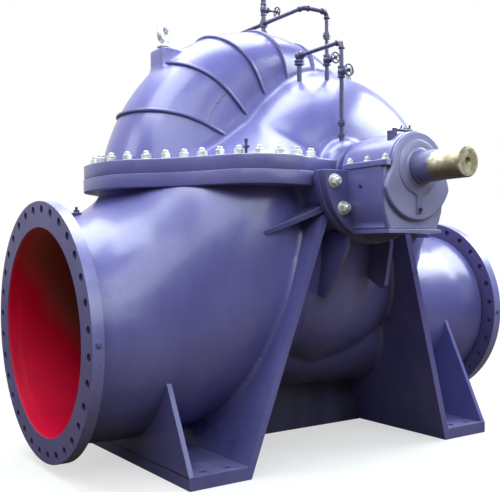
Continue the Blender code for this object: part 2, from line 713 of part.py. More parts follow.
def build_shaft(parts, guides):
    """Pump shaft from inside the free end's cover to the bare driven end with its keyway."""
    shaft = cylinder("pump_shaft", (0, -SHAFT_STEP_Y, SHAFT_Z), (0, FREE_END_Y, SHAFT_Z), SHAFT_R,
                     parts, "steel", sides=40)
    stub = as_cutter(cylinder("stub_form", (0, -SHAFT_END_Y, SHAFT_Z), (0, -SHAFT_STEP_Y + 0.05, SHAFT_Z),
                              SHAFT_END_R, guides, sides=40))
    keyway = as_cutter(box("keyway_form", (-KEYWAY_WIDTH / 2, -SHAFT_END_Y - 0.05,
                                           SHAFT_Z + SHAFT_END_R - KEYWAY_DEPTH),
                           (KEYWAY_WIDTH / 2, -SHAFT_END_Y + KEYWAY_LENGTH, SHAFT_Z + 0.2), guides))
    unite(shaft, [stub])
    cut(shaft, [keyway])
    set_origin(shaft, (0, 0, SHAFT_Z))
    return shaft


def tube(name, points, parts, radius=PIPE_R):
    """Rigid pipe along straight runs, with its ends capped."""
    curve = bpy.data.curves.new(name, "CURVE")
    curve.dimensions = "3D"
    curve.bevel_depth = radius
    curve.bevel_resolution = 2
    curve.use_fill_caps = True
    spline = curve.splines.new("POLY")
    spline.points.add(len(points) - 1)
    for target, point in zip(spline.points, points):
        target.co = (*point, 1.0)
    return add_object(name, curve, "paint", parts)


def set_origin(item, point):
    """Put the origin of a moving piece on its own axis."""
    item.data.transform(Matrix.Translation(-Vector(point)))
    item.location = point


def hand_wheel(name, centre, axis, parts, guides):
    """Rim, two crossed spokes and a hub, turned about the valve's stem."""
    bm = bmesh.new()
    bmesh.ops.create_circle(bm, segments=6, radius=WHEEL_RIM_R)
    bmesh.ops.rotate(bm, verts=bm.verts, matrix=Matrix.Rotation(math.pi / 2, 3, "X"))
    bmesh.ops.translate(bm, verts=bm.verts, vec=(WHEEL_R, 0, 0))
    bmesh.ops.spin(bm, geom=bm.verts[:] + bm.edges[:], cent=(0, 0, 0), axis=(0, 0, 1),
                   angle=math.tau, steps=18, use_merge=True)
    bmesh.ops.remove_doubles(bm, verts=bm.verts, dist=0.0001)
    wheel = add_object(name, mesh_from(bm, name), "paint", parts)
    half = WHEEL_RIM_R * 0.6
    spokes = [as_cutter(box(name + "_bar_form", (-WHEEL_R, -half, -half), (WHEEL_R, half, half), guides)),
              as_cutter(box(name + "_cross_form", (-half * 1.1, -WHEEL_R, -half * 0.9),
                            (half * 1.1, WHEEL_R, half * 0.9), guides))]
    hub = as_cutter(cylinder(name + "_hub_form", (0, 0, -0.008), (0, 0, 0.01), 0.011, guides, sides=12))
    place = Matrix.Translation(Vector(centre)) @ along(axis)
    for item in [wheel, hub] + spokes:
        item.data.transform(place)
    unite(wheel, spokes + [hub])
    set_origin(wheel, centre)
    return wheel


def rounded_route(points, bend, steps=4):
    """Points of a route whose corners are replaced by short arcs."""
    points = [Vector(point) for point in points]
    route = [points[0]]
    for before, corner, after in zip(points, points[1:], points[2:]):
        into = (corner - before).normalized()
        out = (after - corner).normalized()
        centre = corner - into * bend + out * bend
        for i in range(steps + 1):
            angle = math.pi / 2 * i / steps
            route.append(centre - out * bend * math.cos(angle) + into * bend * math.sin(angle))
    route.append(points[-1])
    return route


def valve(name, x, y, low, high, stem_side, stem_length, parts, guides):
    """Upright valve body with a bonnet and stem that point along stem_side."""
    middle = (low + high) / 2
    body = cylinder(name, (x, y, low), (x, y, high), VALVE_R, parts, sides=16)
    side = Vector(stem_side)
    start = Vector((x, y, middle))
    bonnet = cylinder(name + "_bonnet_form", start, start + side * (VALVE_R + 0.02), 0.016, guides,
                      sides=12)
    stem = cylinder(name + "_stem_form", start, start + side * stem_length, 0.006, guides, sides=8)
    unite(body, [as_cutter(bonnet), as_cutter(stem)])
    return start + side * (stem_length + 0.008 + GAP)


def flush_line(side, name, parts, guides):
    """Flushing pipe from the crest of the casing to the stuffing box of one end."""
    x = FLUSH_X
    top = FLUSH_TOP_Z
    drop_y = side * FLUSH_DROP_Y
    tube(name + "_flush_pipe", rounded_route(
        [(x, side * FLUSH_START_Y, FLUSH_START_Z), (x, side * FLUSH_START_Y, top), (x, drop_y, top),
         (x, drop_y, FLUSH_VALVE_Z + VALVE_HALF + GAP)], 0.03), parts)
    wheel_at = valve(name + "_flush_valve", x, drop_y, FLUSH_VALVE_Z - VALVE_HALF,
                     FLUSH_VALVE_Z + VALVE_HALF, (0, side, 0), 0.055, parts, guides)
    hand_wheel(name + "_flush_wheel", wheel_at, (0, side, 0), parts, guides)
    upper_end = FLUSH_VALVE_Z - VALVE_HALF - GAP
    union_top = FLUSH_UNION_Z + UNION_HALF
    tube(name + "_flush_dropper", [(x, drop_y, upper_end), (x, drop_y, union_top + GAP)], parts)
    cylinder(name + "_flush_union", (x, drop_y, FLUSH_UNION_Z - UNION_HALF), (x, drop_y, union_top),
             UNION_R, parts, sides=6)
    tube(name + "_flush_tail", [(x, drop_y, FLUSH_UNION_Z - UNION_HALF - GAP),
                                (x, drop_y, FLUSH_END_Z)], parts)


def balance_line(side, name, parts, guides):
    """Venting pipe from the tee on the crest to the top of one suction chamber."""
    x_run = VENT_X
    x_drop = BALANCE_DROP_X
    y_drop = side * BALANCE_DROP_Y
    tube(name + "_balance_pipe", rounded_route(
        [(x_run, VENT_Y + side * (TEE_R + GAP), BALANCE_TOP_Z), (x_run, y_drop, BALANCE_TOP_Z),
         (x_drop, y_drop, BALANCE_TOP_Z), (x_drop, y_drop, BALANCE_VALVE_Z + VALVE_HALF + GAP)], 0.03),
        parts)
    wheel_at = valve(name + "_balance_valve", x_drop, y_drop, BALANCE_VALVE_Z - VALVE_HALF,
                     BALANCE_VALVE_Z + VALVE_HALF, (0, side, 0), 0.075, parts, guides)
    hand_wheel(name + "_balance_wheel", wheel_at, (0, side, 0), parts, guides)
    tube(name + "_balance_tail", [(x_drop, y_drop, BALANCE_VALVE_Z - VALVE_HALF - GAP),
                                  (x_drop, y_drop, BALANCE_END_Z)], parts)


def vent_stack(parts, guides):
    """Tee on the crest of the volute, with the vent valve above it."""
    tee = cylinder("vent_tee", (VENT_X, VENT_Y, VENT_BASE_Z), (VENT_X, VENT_Y, BALANCE_TOP_Z + 0.03),
                   TEE_R, parts, sides=16)
    seat = BALANCE_TOP_Z + 0.03 + GAP
    wheel_at = valve("vent_valve", VENT_X, VENT_Y, seat, VENT_TOP_Z, (1, 0, 0), 0.10, parts, guides)
    hand_wheel("vent_wheel", wheel_at, (1, 0, 0), parts, guides)
    return tee


def eye_bolt(name, x, z, parts, guides):
    """Lifting eye on a lug: a ring that stands in the plane of the shaft's axis."""
    bm = bmesh.new()
    bmesh.ops.create_circle(bm, segments=8, radius=EYE_WIRE_R)
    bmesh.ops.rotate(bm, verts=bm.verts, matrix=Matrix.Rotation(math.pi / 2, 3, "X"))
    bmesh.ops.translate(bm, verts=bm.verts, vec=(EYE_R, 0, 0))
    bmesh.ops.spin(bm, geom=bm.verts[:] + bm.edges[:], cent=(0, 0, 0), axis=(0, 0, 1),
                   angle=math.tau, steps=18, use_merge=True)
    bmesh.ops.remove_doubles(bm, verts=bm.verts, dist=0.0001)
    bmesh.ops.rotate(bm, verts=bm.verts, matrix=Matrix.Rotation(math.pi / 2, 3, "X"))
    bmesh.ops.translate(bm, verts=bm.verts, vec=(x, 0, z + EYE_SHANK + EYE_R))
    eye = add_object(name, mesh_from(bm, name), "zinc", parts)
    shank = as_cutter(cylinder(name + "_shank_form", (x, 0, z + GAP), (x, 0, z + EYE_SHANK + 0.01),
                               0.028, guides, sides=16))
    unite(eye, [shank])
    return eye


def main():
    clear_scene()
    parts = new_collection("double_suction_pump")
    guides = new_collection("cutters")
    make_material("paint", PAINT, 0.35, 0.0)
    make_material("steel", STEEL, 0.4, 0.9)
    make_material("zinc", ZINC, 0.35, 0.8)
    build_casing(parts, guides)
    clearance = clearances(guides)
    build_branches(parts, guides, clearance)
    build_feet(parts, guides, clearance)
    for side, name in ((-1, "driven"), (1, "free")):
        build_bearing(side, name, parts, guides)
        flush_line(side, name, parts, guides)
        balance_line(side, name, parts, guides)
    build_shaft(parts, guides)
    vent_stack(parts, guides)
    for i, (x_low, x_high, z_low, z_high) in enumerate(LUGS):
        eye_bolt(("suction_eye_bolt", "discharge_eye_bolt")[i], (x_low + x_high) / 2, z_high, parts, guides)


main()
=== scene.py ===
import math
import random

import bmesh
import bpy
from mathutils import Matrix, Vector


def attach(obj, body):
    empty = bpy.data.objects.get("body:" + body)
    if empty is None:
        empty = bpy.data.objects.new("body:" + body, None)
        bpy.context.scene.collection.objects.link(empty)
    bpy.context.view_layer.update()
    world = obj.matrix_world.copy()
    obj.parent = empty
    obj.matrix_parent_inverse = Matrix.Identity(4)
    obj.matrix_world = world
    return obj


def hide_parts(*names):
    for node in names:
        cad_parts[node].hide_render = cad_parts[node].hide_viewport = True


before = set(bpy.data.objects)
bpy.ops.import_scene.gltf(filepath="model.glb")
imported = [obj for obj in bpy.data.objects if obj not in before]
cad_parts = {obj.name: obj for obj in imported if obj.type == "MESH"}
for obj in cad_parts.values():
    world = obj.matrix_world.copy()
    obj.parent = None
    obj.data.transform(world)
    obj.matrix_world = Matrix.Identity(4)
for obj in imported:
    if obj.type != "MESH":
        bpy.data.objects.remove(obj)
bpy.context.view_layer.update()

UP = (0, 0, 1)
ENDS = ((-1, "driven"), (1, "free"))
GAP = 0.0003
JOINT_GAP = 0.0005

# Main layout, in metres. +X runs from suction to discharge, and the driven end points to -Y
SHAFT_Z = 1.68
PIPE_Z = 0.79
SUCTION_FACE_X = -1.63
SUCTION_BACK_X = -1.565
DISCHARGE_FACE_X = 1.55
DISCHARGE_BACK_X = 1.484
CASTING_WALL = 0.045

# Suction and discharge flanges
SUCTION_R = 0.7425
SUCTION_BORE_R = 0.597
SUCTION_PITCH_R = 0.695
SUCTION_HOLES = 32
SUCTION_HOLE_R = 0.0245
DISCHARGE_R = 0.65
DISCHARGE_BORE_R = 0.47
DISCHARGE_PITCH_R = 0.605
DISCHARGE_HOLES = 28
DISCHARGE_HOLE_R = 0.021

# Volute: a spiral whose outer radius and width grow with the angle
VOLUTE_START_R = 0.85
VOLUTE_RISE = 0.12
VOLUTE_CURVE = 0.245
VOLUTE_LOWER_RISE = 0.28
VOLUTE_FIRST = -15
VOLUTE_LAST = 275
VOLUTE_INNER_R = 0.25
VOLUTE_HALF_WIDTH = 0.15
VOLUTE_WIDENING = 0.235
VOLUTE_ROUNDING = 1.05
VOLUTE_FULLNESS = 2.1

# Ribs on the volute: their profile is (along the volute, height), and they lean forward on the crest
RIB_COUNT = 7
RIB_FIRST = 37.6
RIB_STEP = 20
RIB_LEAN = 0.058
RIB_PROFILE = [(-0.011, -0.02), (-0.011, 0.009), (-0.007, 0.0138), (0.0, 0.0148), (0.007, 0.0138),
               (0.011, 0.009), (0.011, -0.02)]

# Suction chambers: half width and radius at angles from +X towards +Z
CHAMBER_HALF_WIDTHS = [(-90, 0.86), (-40, 0.86), (0, 0.75), (30, 0.72), (150, 0.72), (180, 0.75),
                       (220, 0.82), (270, 0.86)]
CHAMBER_POLE_Y = 0.75
CHAMBER_FULLNESS = 2.6
CHAMBER_RADII = [(-90, 1.22), (-45, 1.16), (0, 1.08), (25, 1.03), (40, 0.945), (60, 0.835), (80, 0.74),
                 (100, 0.645), (120, 0.59), (140, 0.58), (160, 0.60), (180, 0.66), (200, 0.80),
                 (230, 1.0), (270, 1.22)]

# Suction duct: x, half width, bottom, level of the widest part, top, exponent of the upper half
DUCT_STATIONS = [(-1.60, 0.64, 0.15, 0.79, 1.43, 2.0), (-1.40, 0.645, 0.135, 0.80, 1.455, 2.0),
                 (-1.22, 0.66, 0.13, 0.82, 1.56, 2.12), (-1.08, 0.70, 0.135, 0.86, 1.69, 2.35),
                 (-0.90, 0.775, 0.15, 0.95, 1.83, 2.8), (-0.65, 0.81, 0.20, 1.05, 1.90, 3.6),
                 (-0.40, 0.78, 0.32, 1.10, 1.90, 4.0), (-0.15, 0.70, 0.50, 1.20, 1.90, 4.0)]
DUCT_X = (SUCTION_BACK_X + GAP, -0.15)
DUCT_BORE_X = (-1.70, -0.90)
DUCT_CORE_X = (-1.50, -0.20)
DUCT_CORE_SHRINK = 0.03

# Discharge branch, which rises towards the volute and flares at its flange
BRANCH_R = 0.515
BRANCH_X = (0.1, DISCHARGE_BACK_X - GAP)
BRANCH_BORE_X = (0.95, 1.65)
BRANCH_CORE_X = (0.60, 1.40)
BRANCH_CORE_R = 0.49
BRANCH_RISE = 0.035
BRANCH_FLARE = 0.038
FLARE_START_X = 1.22
FLARE_LENGTH = 0.25

# Split flange, and the skirt above it: height and scale of the skirt's outlines
SPLIT_HALF_THICK = 0.08
SPLIT_RIGHT_SCALE = 0.94
SPLIT_QUARTER = [(1.30, 0.0), (1.285, 0.17), (1.215, 0.30), (1.105, 0.395), (1.015, 0.50),
                 (0.945, 0.615), (0.885, 0.735), (0.815, 0.835), (0.725, 0.90), (0.61, 0.93),
                 (0.475, 0.93), (0.33, 0.885), (0.2, 0.85), (0.0, 0.85)]
SKIRT_INSET = 0.13
SKIRT_LEVELS = [(1.63, 1.0), (1.76, 0.985), (1.79, 0.94), (1.84, 0.845), (1.90, 0.745), (1.98, 0.62),
                (2.07, 0.47)]

# Lifting lugs (x from, x to, z from, z to), and their eye bolts (x, level of the lug's top)
LUG_HALF_Y = 0.082
LUGS = ((-0.868, -0.70, 2.2, 2.474), (0.58, 0.75, 2.05, 2.407))
EYES = (("suction", -0.812, 2.4700), ("discharge", 0.692, 2.4030))
EYE_R = 0.044
EYE_WIRE_R = 0.0175

# Feet. The two ends of a web are (x, half width, z)
FOOT_INNER_X = 0.765
FOOT_MIDDLE_X = 0.96
FOOT_OUTER_X = 1.155
FOOT_HALF_Y = 0.846
FOOT_PLATE_THICK = 0.075
INNER_WEB = ((0.7875, 0.846, 0.002), (0.303, 0.9245, 1.44))
INNER_WEB_THICK = 0.045
OUTER_WEB = ((1.14, 0.846, 0.065), (1.14, 0.50, 0.76))
OUTER_WEB_THICK = 0.030
WEB_ROOT = ((0.7875, 0.838, 0.02), (0.33, 0.908, 1.36))
WEB_ROOT_THICK = 0.030
CENTRE_WEB_HALF_THICK = 0.025
CENTRE_WEB_TOP_Z = 0.60
CENTRE_WEB_TOP_X = 0.565
ANCHOR_HOLE_R = 0.022
ANCHOR_HOLE_Y = 0.775
ANCHOR_HOLE_SPREAD = 0.075

# Bearing brackets. Their side ribs are (x, z), and the ribs below them (distance from the middle, z)
BRACKET_FACE_Y = 0.98
BRACKET_THICK = 0.045
BRACKET_R = 0.402
NECK_START_Y = 0.5
NECK_RADII = (0.42, 0.36)
SIDE_RIB = [(0.30, 1.50), (0.665, 1.345), (0.65, 1.315), (0.30, 1.46)]
SIDE_RIB_Y = (0.55, 0.93)
SIDE_RIB_TIP_Y = 0.80
BRACKET_RIB_HALF_THICK = 0.015
BRACKET_RIBS = (
    (-0.18, [(0.60, 1.35), (0.975, 1.35), (0.975, 1.265), (0.90, 1.13), (0.765, 0.958), (0.70, 0.985),
             (0.60, 1.15)]),
    (0.18, [(0.60, 1.35), (0.945, 1.35), (0.945, 1.27), (0.90, 1.03), (0.86, 1.01), (0.66, 1.13)]))

# Bearing housings, caps and covers, and the keyway of the shaft
HOUSING_BACK_Y = BRACKET_FACE_Y + GAP
HOUSING_END_Y = 1.30
HOUSING_PLATE_R = 0.395
HOUSING_NUT_PITCH_R = 0.336
HOUSING_NUT_ANGLES = (190.5, 218, 322, 349.5)
LEDGE_THICK = 0.035
LEDGE_NUT_X = 0.213
LEDGE_NUT_Y = (1.022, 1.16, 1.298)
CAP_R = 0.1935
COVER_START_Y = HOUSING_END_Y + GAP
COVER_THICK = 0.029
COVER_LOW_R = 0.258
COVER_LOW_Z = 1.655
GREASE_Y = 1.24
KEYWAY_HALF_WIDTH = 0.018
KEYWAY_END_Y = -1.478
KEYWAY_Z = (SHAFT_Z + 0.060, SHAFT_Z + 0.12)

# Small pipework
PIPE_R = 0.0125
PIPE_BEND = 0.03
FLUSH_X = -0.04
FLUSH_TAP_Y = 0.35
FLUSH_DROP_Y = 0.751
FLUSH_TOP_Z = 2.46
FLUSH_VALVE_Z = (2.25, 2.32)
BALANCE_X = 0.10
BALANCE_Y = 0.45
BALANCE_TOP_Z = 2.725
BALANCE_VALVE_Z = (2.395, 2.465)
VENT_X = -0.085
VENT_Y = -0.03
VENT_VALVE_Z = 2.7553
VENT_STEM_Z = 2.81765
VENT_STEM_LENGTH = 0.1083

# Nuts, plugs and the welded seam
SPLIT_NUT_SPACING = 0.1128
SPLIT_NUT_INSET = 0.055
FILLER_PLUG_X = -1.3975
JACKING_X = -0.745
JACKING_Y = 0.789
HOUSING_PLUG_Y = 1.131
HOUSING_PLUG_Z = 1.587
SEAM_ANGLES = (156.5, 154, 151.6, 149, 147, 144.6, 142.5, 139.5)
SEAM_SHIFTS = (0.0, 0.004, -0.003, 0.003, -0.005, 0.004, -0.002, 0.002)

# Red lining of the duct, and the part of the volute that shows inside it
LINING_START = 0.004
LINING_LENGTH = 0.724
LINING_R = 0.5955
LINING_INSET = 0.0475
NOSE_ANGLES = (188, 215)
NOSE_INSET = 0.012

# Camera as solved from the photograph, in its pixels and in degrees
PHOTO_WIDTH = 500
PHOTO_HEIGHT = 492
FOCAL_PIXELS = 788.2
AXIS_PIXEL_X = 242.4
AXIS_PIXEL_Y = 303.3
SENSOR_MM = 36
CAMERA_PLACE = (-3.141, -4.333, 1.247)
CAMERA_YAW = 33.686
CAMERA_PITCH = -3.846
CAMERA_ROLL = -0.526

# Lamps: place, what they face, size and watts
LAMP_COLOUR = (0.88, 0.97, 1.0)
LAMPS = (
    ("skylight", (0.5, 1.2, 6.5), (-0.1, 0.0, 1.4), (5.0, 3.6), 440),
    ("window_right", (4.2, -1.3, 4.6), (0.6, -0.3, 1.6), (4.0, 2.2), 300),
    ("window_left", (-4.8, 0.6, 4.2), (-0.6, 0.0, 1.9), (2.0, 1.6), 50),
    ("window_front", (-2.3, -4.6, 5.2), (-0.8, -0.2, 1.0), (6.5, 3.8), 260),
    ("window_over", (-2.5, -0.7, 5.4), (-1.1, -0.4, 1.3), (2.6, 2.6), 150),
    ("window_side", (2.0, -6.2, 3.6), (-0.5, -0.6, 1.2), (3.6, 3.0), 95))


# Finishes

def node(tree, kind, **values):
    made = tree.nodes.new(kind)
    for key, value in values.items():
        setattr(made, key, value)
    return made


def ramp_between(tree, source, low, high):
    """Value stretched so that low becomes 0 and high becomes 1."""
    stretch = node(tree, "ShaderNodeMapRange", clamp=True)
    stretch.inputs["From Min"].default_value = low
    stretch.inputs["From Max"].default_value = high
    tree.links.new(source, stretch.inputs["Value"])
    return stretch.outputs["Result"]


def noise_value(tree, coords, scale, detail=4.0, roughness=0.55, stretch=(1, 1, 1)):
    turn = node(tree, "ShaderNodeMapping")
    turn.inputs["Scale"].default_value = stretch
    tree.links.new(coords, turn.inputs["Vector"])
    grain = node(tree, "ShaderNodeTexNoise")
    grain.inputs["Scale"].default_value = scale
    grain.inputs["Detail"].default_value = detail
    grain.inputs["Roughness"].default_value = roughness
    tree.links.new(turn.outputs["Vector"], grain.inputs["Vector"])
    return grain.outputs["Fac"]


def blend_colour(tree, factor, first, second):
    """Mix of two colours or colour sockets by a socket."""
    mix = node(tree, "ShaderNodeMix", data_type="RGBA")
    tree.links.new(factor, mix.inputs[0])
    for socket, colour in ((mix.inputs[6], first), (mix.inputs[7], second)):
        if isinstance(colour, tuple):
            socket.default_value = (*colour, 1.0)
        else:
            tree.links.new(colour, socket)
    return mix.outputs[2]


def scaled(tree, source, factor, offset=0.0):
    """Value times a factor, plus an offset."""
    total = node(tree, "ShaderNodeMath", operation="MULTIPLY_ADD")
    tree.links.new(source, total.inputs[0])
    total.inputs[1].default_value = factor
    total.inputs[2].default_value = offset
    return total.outputs[0]


def weighted_sum(tree, first, factor, second):
    """First value times a factor, plus the second value."""
    total = node(tree, "ShaderNodeMath", operation="MULTIPLY_ADD")
    tree.links.new(first, total.inputs[0])
    total.inputs[1].default_value = factor
    tree.links.new(second, total.inputs[2])
    return total.outputs[0]


def product(tree, first, second):
    times = node(tree, "ShaderNodeMath", operation="MULTIPLY")
    tree.links.new(first, times.inputs[0])
    tree.links.new(second, times.inputs[1])
    return times.outputs[0]


def split_xyz(tree, vector):
    parts = node(tree, "ShaderNodeSeparateXYZ")
    tree.links.new(vector, parts.inputs[0])
    return parts.outputs


def facing_parts(tree):
    """The three parts of the direction that a surface faces."""
    return split_xyz(tree, node(tree, "ShaderNodeNewGeometry").outputs["Normal"])


def bumped(tree, heights):
    """Chain of bumps from (height socket, depth in metres) pairs."""
    normal = None
    for height, depth in heights:
        bump = node(tree, "ShaderNodeBump")
        bump.inputs["Strength"].default_value = 1.0
        bump.inputs["Distance"].default_value = depth
        tree.links.new(height, bump.inputs["Height"])
        if normal:
            tree.links.new(normal, bump.inputs["Normal"])
        normal = bump.outputs["Normal"]
    return normal


def start_material(name):
    material = bpy.data.materials.new(name)
    material.use_nodes = True
    tree = material.node_tree
    shader = tree.nodes["Principled BSDF"]
    coords = node(tree, "ShaderNodeTexCoord").outputs["Object"]
    return material, tree, shader, coords


def casting_paint(name, colour, deep, pale, rough=0.27, lumps=0.0007, dust_and_highlight=0.15, ends=None, coat=0.5):
    """Gloss enamel on a sand casting: cloudy colour, soft lumps, fine grit, paler tops (dust, and where
    strong a painted highlight), painted shade below, and painted light on faces towards the ends if ends is
    given.
    """
    material, tree, shader, coords = start_material(name)
    clouds = ramp_between(tree, noise_value(tree, coords, 1.7, 5.0, 0.6), 0.36, 0.68)
    streaks = ramp_between(tree, noise_value(tree, coords, 3.2, 4.0, 0.6, (1, 1, 0.22)), 0.42, 0.72)
    specks = ramp_between(tree, noise_value(tree, coords, 34.0, 3.0, 0.7), 0.66, 0.75)
    body = blend_colour(tree, clouds, deep, colour)
    body = blend_colour(tree, scaled(tree, streaks, 0.5), body, pale)
    body = blend_colour(tree, scaled(tree, specks, 0.2), body, deep)

    facing = facing_parts(tree)
    patches = ramp_between(tree, noise_value(tree, coords, 9.0, 5.0, 0.7), 0.35, 0.75)
    # Paler where the surface faces up: dust, and at the rim paint's strong setting a painted highlight on its
    # top.
    dusty_lit_tops = product(tree, ramp_between(tree, facing["Z"], 0.55, 1.0), patches)
    body = blend_colour(tree, scaled(tree, dusty_lit_tops, dust_and_highlight), body, (0.36, 0.36, 0.44))
    # Painted shade: darker where the surface faces down, broken up by a noise.
    shade_breakup = ramp_between(tree, noise_value(tree, coords, 4.0, 5.0, 0.65), 0.20, 0.60)
    underside_shade = product(tree, ramp_between(tree, facing["Z"], -0.10, -0.75), shade_breakup)
    body = blend_colour(tree, scaled(tree, underside_shade, 0.42), body, tuple(part * 0.25 for part in deep))
    # Painted light: a lighter colour on faces that point along Y, towards either end.
    if ends:
        along = node(tree, "ShaderNodeMath", operation="ABSOLUTE")
        tree.links.new(facing["Y"], along.inputs[0])
        body = blend_colour(tree, ramp_between(tree, along.outputs[0], 0.70, 0.97), body, ends)
    tree.links.new(body, shader.inputs["Base Color"])

    gloss = weighted_sum(tree, dusty_lit_tops, 0.25, scaled(tree, clouds, 0.10, rough))
    tree.links.new(gloss, shader.inputs["Roughness"])
    shader.inputs["Coat Weight"].default_value = coat
    shader.inputs["Coat Roughness"].default_value = 0.20
    swell = noise_value(tree, coords, 5.5, 3.0, 0.5)
    grit = noise_value(tree, coords, 70.0, 4.0, 0.6)
    fine = noise_value(tree, coords, 260.0, 2.0, 0.5)
    relief = bumped(tree, [(swell, lumps * 4), (grit, lumps), (fine, 0.00012)])
    tree.links.new(relief, shader.inputs["Normal"])
    return material


def red_lining():
    """Red priming paint inside the suction duct, dull, and brown towards its top and further in, where the
    brown is painted shade.
    """
    material, tree, shader, coords = start_material("red_lining")
    clouds = ramp_between(tree, noise_value(tree, coords, 2.4, 5.0, 0.65), 0.35, 0.7)
    body = blend_colour(tree, clouds, (0.56, 0.0, 0.030), (0.74, 0.0, 0.042))
    place = split_xyz(tree, coords)
    lean = weighted_sum(tree, place["X"], 1.45, place["Z"])
    ragged = weighted_sum(tree, noise_value(tree, coords, 3.0, 5.0, 0.65), 0.4, scaled(tree, lean, 1.0, -0.2))
    # Painted shade: brown where the lining rises and runs further into the duct.
    brown = ramp_between(tree, ragged, -1.17, -0.87)
    body = blend_colour(tree, brown, body, (0.26, 0.105, 0.09))
    tree.links.new(body, shader.inputs["Base Color"])
    shader.inputs["Roughness"].default_value = 0.58
    shader.inputs["Specular IOR Level"].default_value = 0.25
    grit = noise_value(tree, coords, 60.0, 4.0, 0.6)
    relief = bumped(tree, [(noise_value(tree, coords, 7.0), 0.004), (grit, 0.001)])
    tree.links.new(relief, shader.inputs["Normal"])
    return material


def zinc_plate():
    """Pale zinc of the nuts and studs, duller in patches."""
    material, tree, shader, coords = start_material("zinc_nuts")
    patches = ramp_between(tree, noise_value(tree, coords, 38.0, 4.0, 0.6), 0.35, 0.7)
    body = blend_colour(tree, patches, (0.56, 0.57, 0.53), (0.93, 0.94, 0.90))
    tree.links.new(body, shader.inputs["Base Color"])
    shader.inputs["Metallic"].default_value = 0.55
    tree.links.new(scaled(tree, patches, 0.14, 0.30), shader.inputs["Roughness"])
    tree.links.new(bumped(tree, [(noise_value(tree, coords, 500.0), 0.0003)]), shader.inputs["Normal"])
    return material


def greased_steel():
    """Turned shaft end with a yellow-brown film of grease, painted shade on its lower side, and paint slopped
    over its inner part.
    """
    material, tree, shader, coords = start_material("greased_steel")
    rings = noise_value(tree, coords, 30.0, 3.0, 0.5, (0.4, 22, 0.4))
    smears = ramp_between(tree, noise_value(tree, coords, 11.0, 6.0, 0.7), 0.40, 0.62)
    spots = ramp_between(tree, noise_value(tree, coords, 42.0, 5.0, 0.7), 0.55, 0.68)
    body = blend_colour(tree, smears, (0.46, 0.39, 0.24), (0.82, 0.79, 0.66))
    body = blend_colour(tree, scaled(tree, spots, 0.8), body, (0.20, 0.145, 0.07))
    # Painted shade: dark brown on the side of the shaft that faces down.
    under = ramp_between(tree, facing_parts(tree)["Z"], 0.15, -0.55)
    body = blend_colour(tree, scaled(tree, under, 0.85), body, (0.11, 0.075, 0.035))
    along = scaled(tree, split_xyz(tree, coords)["Y"], 1.0, -0.08)
    ragged = weighted_sum(tree, noise_value(tree, coords, 9.0, 5.0, 0.7), 0.16, along)
    painted = ramp_between(tree, ragged, -1.50, -1.45)
    body = blend_colour(tree, painted, body, (0.10, 0.094, 0.24))
    tree.links.new(body, shader.inputs["Base Color"])
    tree.links.new(scaled(tree, painted, -0.40, 0.40), shader.inputs["Metallic"])
    tree.links.new(scaled(tree, smears, 0.18, 0.28), shader.inputs["Roughness"])
    tree.links.new(bumped(tree, [(rings, 0.0006), (smears, 0.0015)]), shader.inputs["Normal"])
    return material


# Each paint has its own colour, then the deeper and the paler one that it clouds into
PAINT = casting_paint("casting_paint", (0.128, 0.122, 0.365), (0.098, 0.092, 0.295), (0.18, 0.172, 0.44))
FLANGE_PAINT = casting_paint("flange_paint", (0.124, 0.114, 0.32), (0.094, 0.086, 0.26), (0.17, 0.16, 0.40),
                             rough=0.36, lumps=0.0005)
# Housing paint with a lighter colour on its end faces: painted light.
HOUSING_PAINT = casting_paint("housing_paint", (0.132, 0.126, 0.35), (0.100, 0.095, 0.28),
                              (0.18, 0.175, 0.43), rough=0.34, lumps=0.0007, ends=(0.28, 0.275, 0.485))
PLATE_PAINT = casting_paint("plate_paint", (0.105, 0.098, 0.27), (0.080, 0.074, 0.21), (0.15, 0.145, 0.36),
                            rough=0.32, lumps=0.0006)
# Lighter paint for the cover boss, drain and base lip, which face the ends: painted light.
LIT_END_PAINT = casting_paint("lit_end_paint", (0.255, 0.250, 0.455), (0.205, 0.200, 0.39), (0.32, 0.32, 0.52),
                            rough=0.38, lumps=0.0008)
# Darker paint for the ribs on the volute and under the brackets: painted shade.
SHADED_RIB_PAINT = casting_paint("shaded_rib_paint", (0.092, 0.086, 0.27), (0.062, 0.057, 0.19), (0.14, 0.132, 0.37))
FOOT_PAINT = casting_paint("foot_paint", (0.120, 0.110, 0.31), (0.090, 0.082, 0.25), (0.17, 0.16, 0.40),
                           rough=0.34, lumps=0.0005, dust_and_highlight=0.28)
SEAM_PAINT = casting_paint("seam_paint", (0.085, 0.080, 0.22), (0.060, 0.055, 0.16), (0.12, 0.115, 0.27))
# Paler paint for the flange rims, and strongly paler on their tops: painted highlight.
RIM_HIGHLIGHT_PAINT = casting_paint("rim_highlight_paint", (0.19, 0.186, 0.44), (0.15, 0.146, 0.37), (0.29, 0.29, 0.54),
                          rough=0.26, lumps=0.0004, dust_and_highlight=0.7)
# Darker paint for the flange faces: painted shade.
SHADED_RING_PAINT = casting_paint("shaded_ring_paint", (0.098, 0.083, 0.255), (0.074, 0.062, 0.195), (0.145, 0.125, 0.34),
                           rough=0.48, lumps=0.0005, coat=0.1)
# Very dark paint for the web between the feet, under the belly: painted shade.
SHADED_WEB_PAINT = casting_paint("shaded_web_paint", (0.060, 0.056, 0.125), (0.036, 0.033, 0.070), (0.10, 0.095, 0.22),
                          rough=0.42, lumps=0.0007)
PIPE_PAINT = casting_paint("pipework_paint", (0.056, 0.049, 0.135), (0.031, 0.026, 0.075),
                           (0.105, 0.095, 0.23), rough=0.30, lumps=0.0002, dust_and_highlight=0.2)
RED = red_lining()
ZINC = zinc_plate()
STEEL = greased_steel()


# Making and joining meshes

def new_mesh(bm, name):
    mesh = bpy.data.meshes.new(name)
    bm.to_mesh(mesh)
    bm.free()
    return mesh


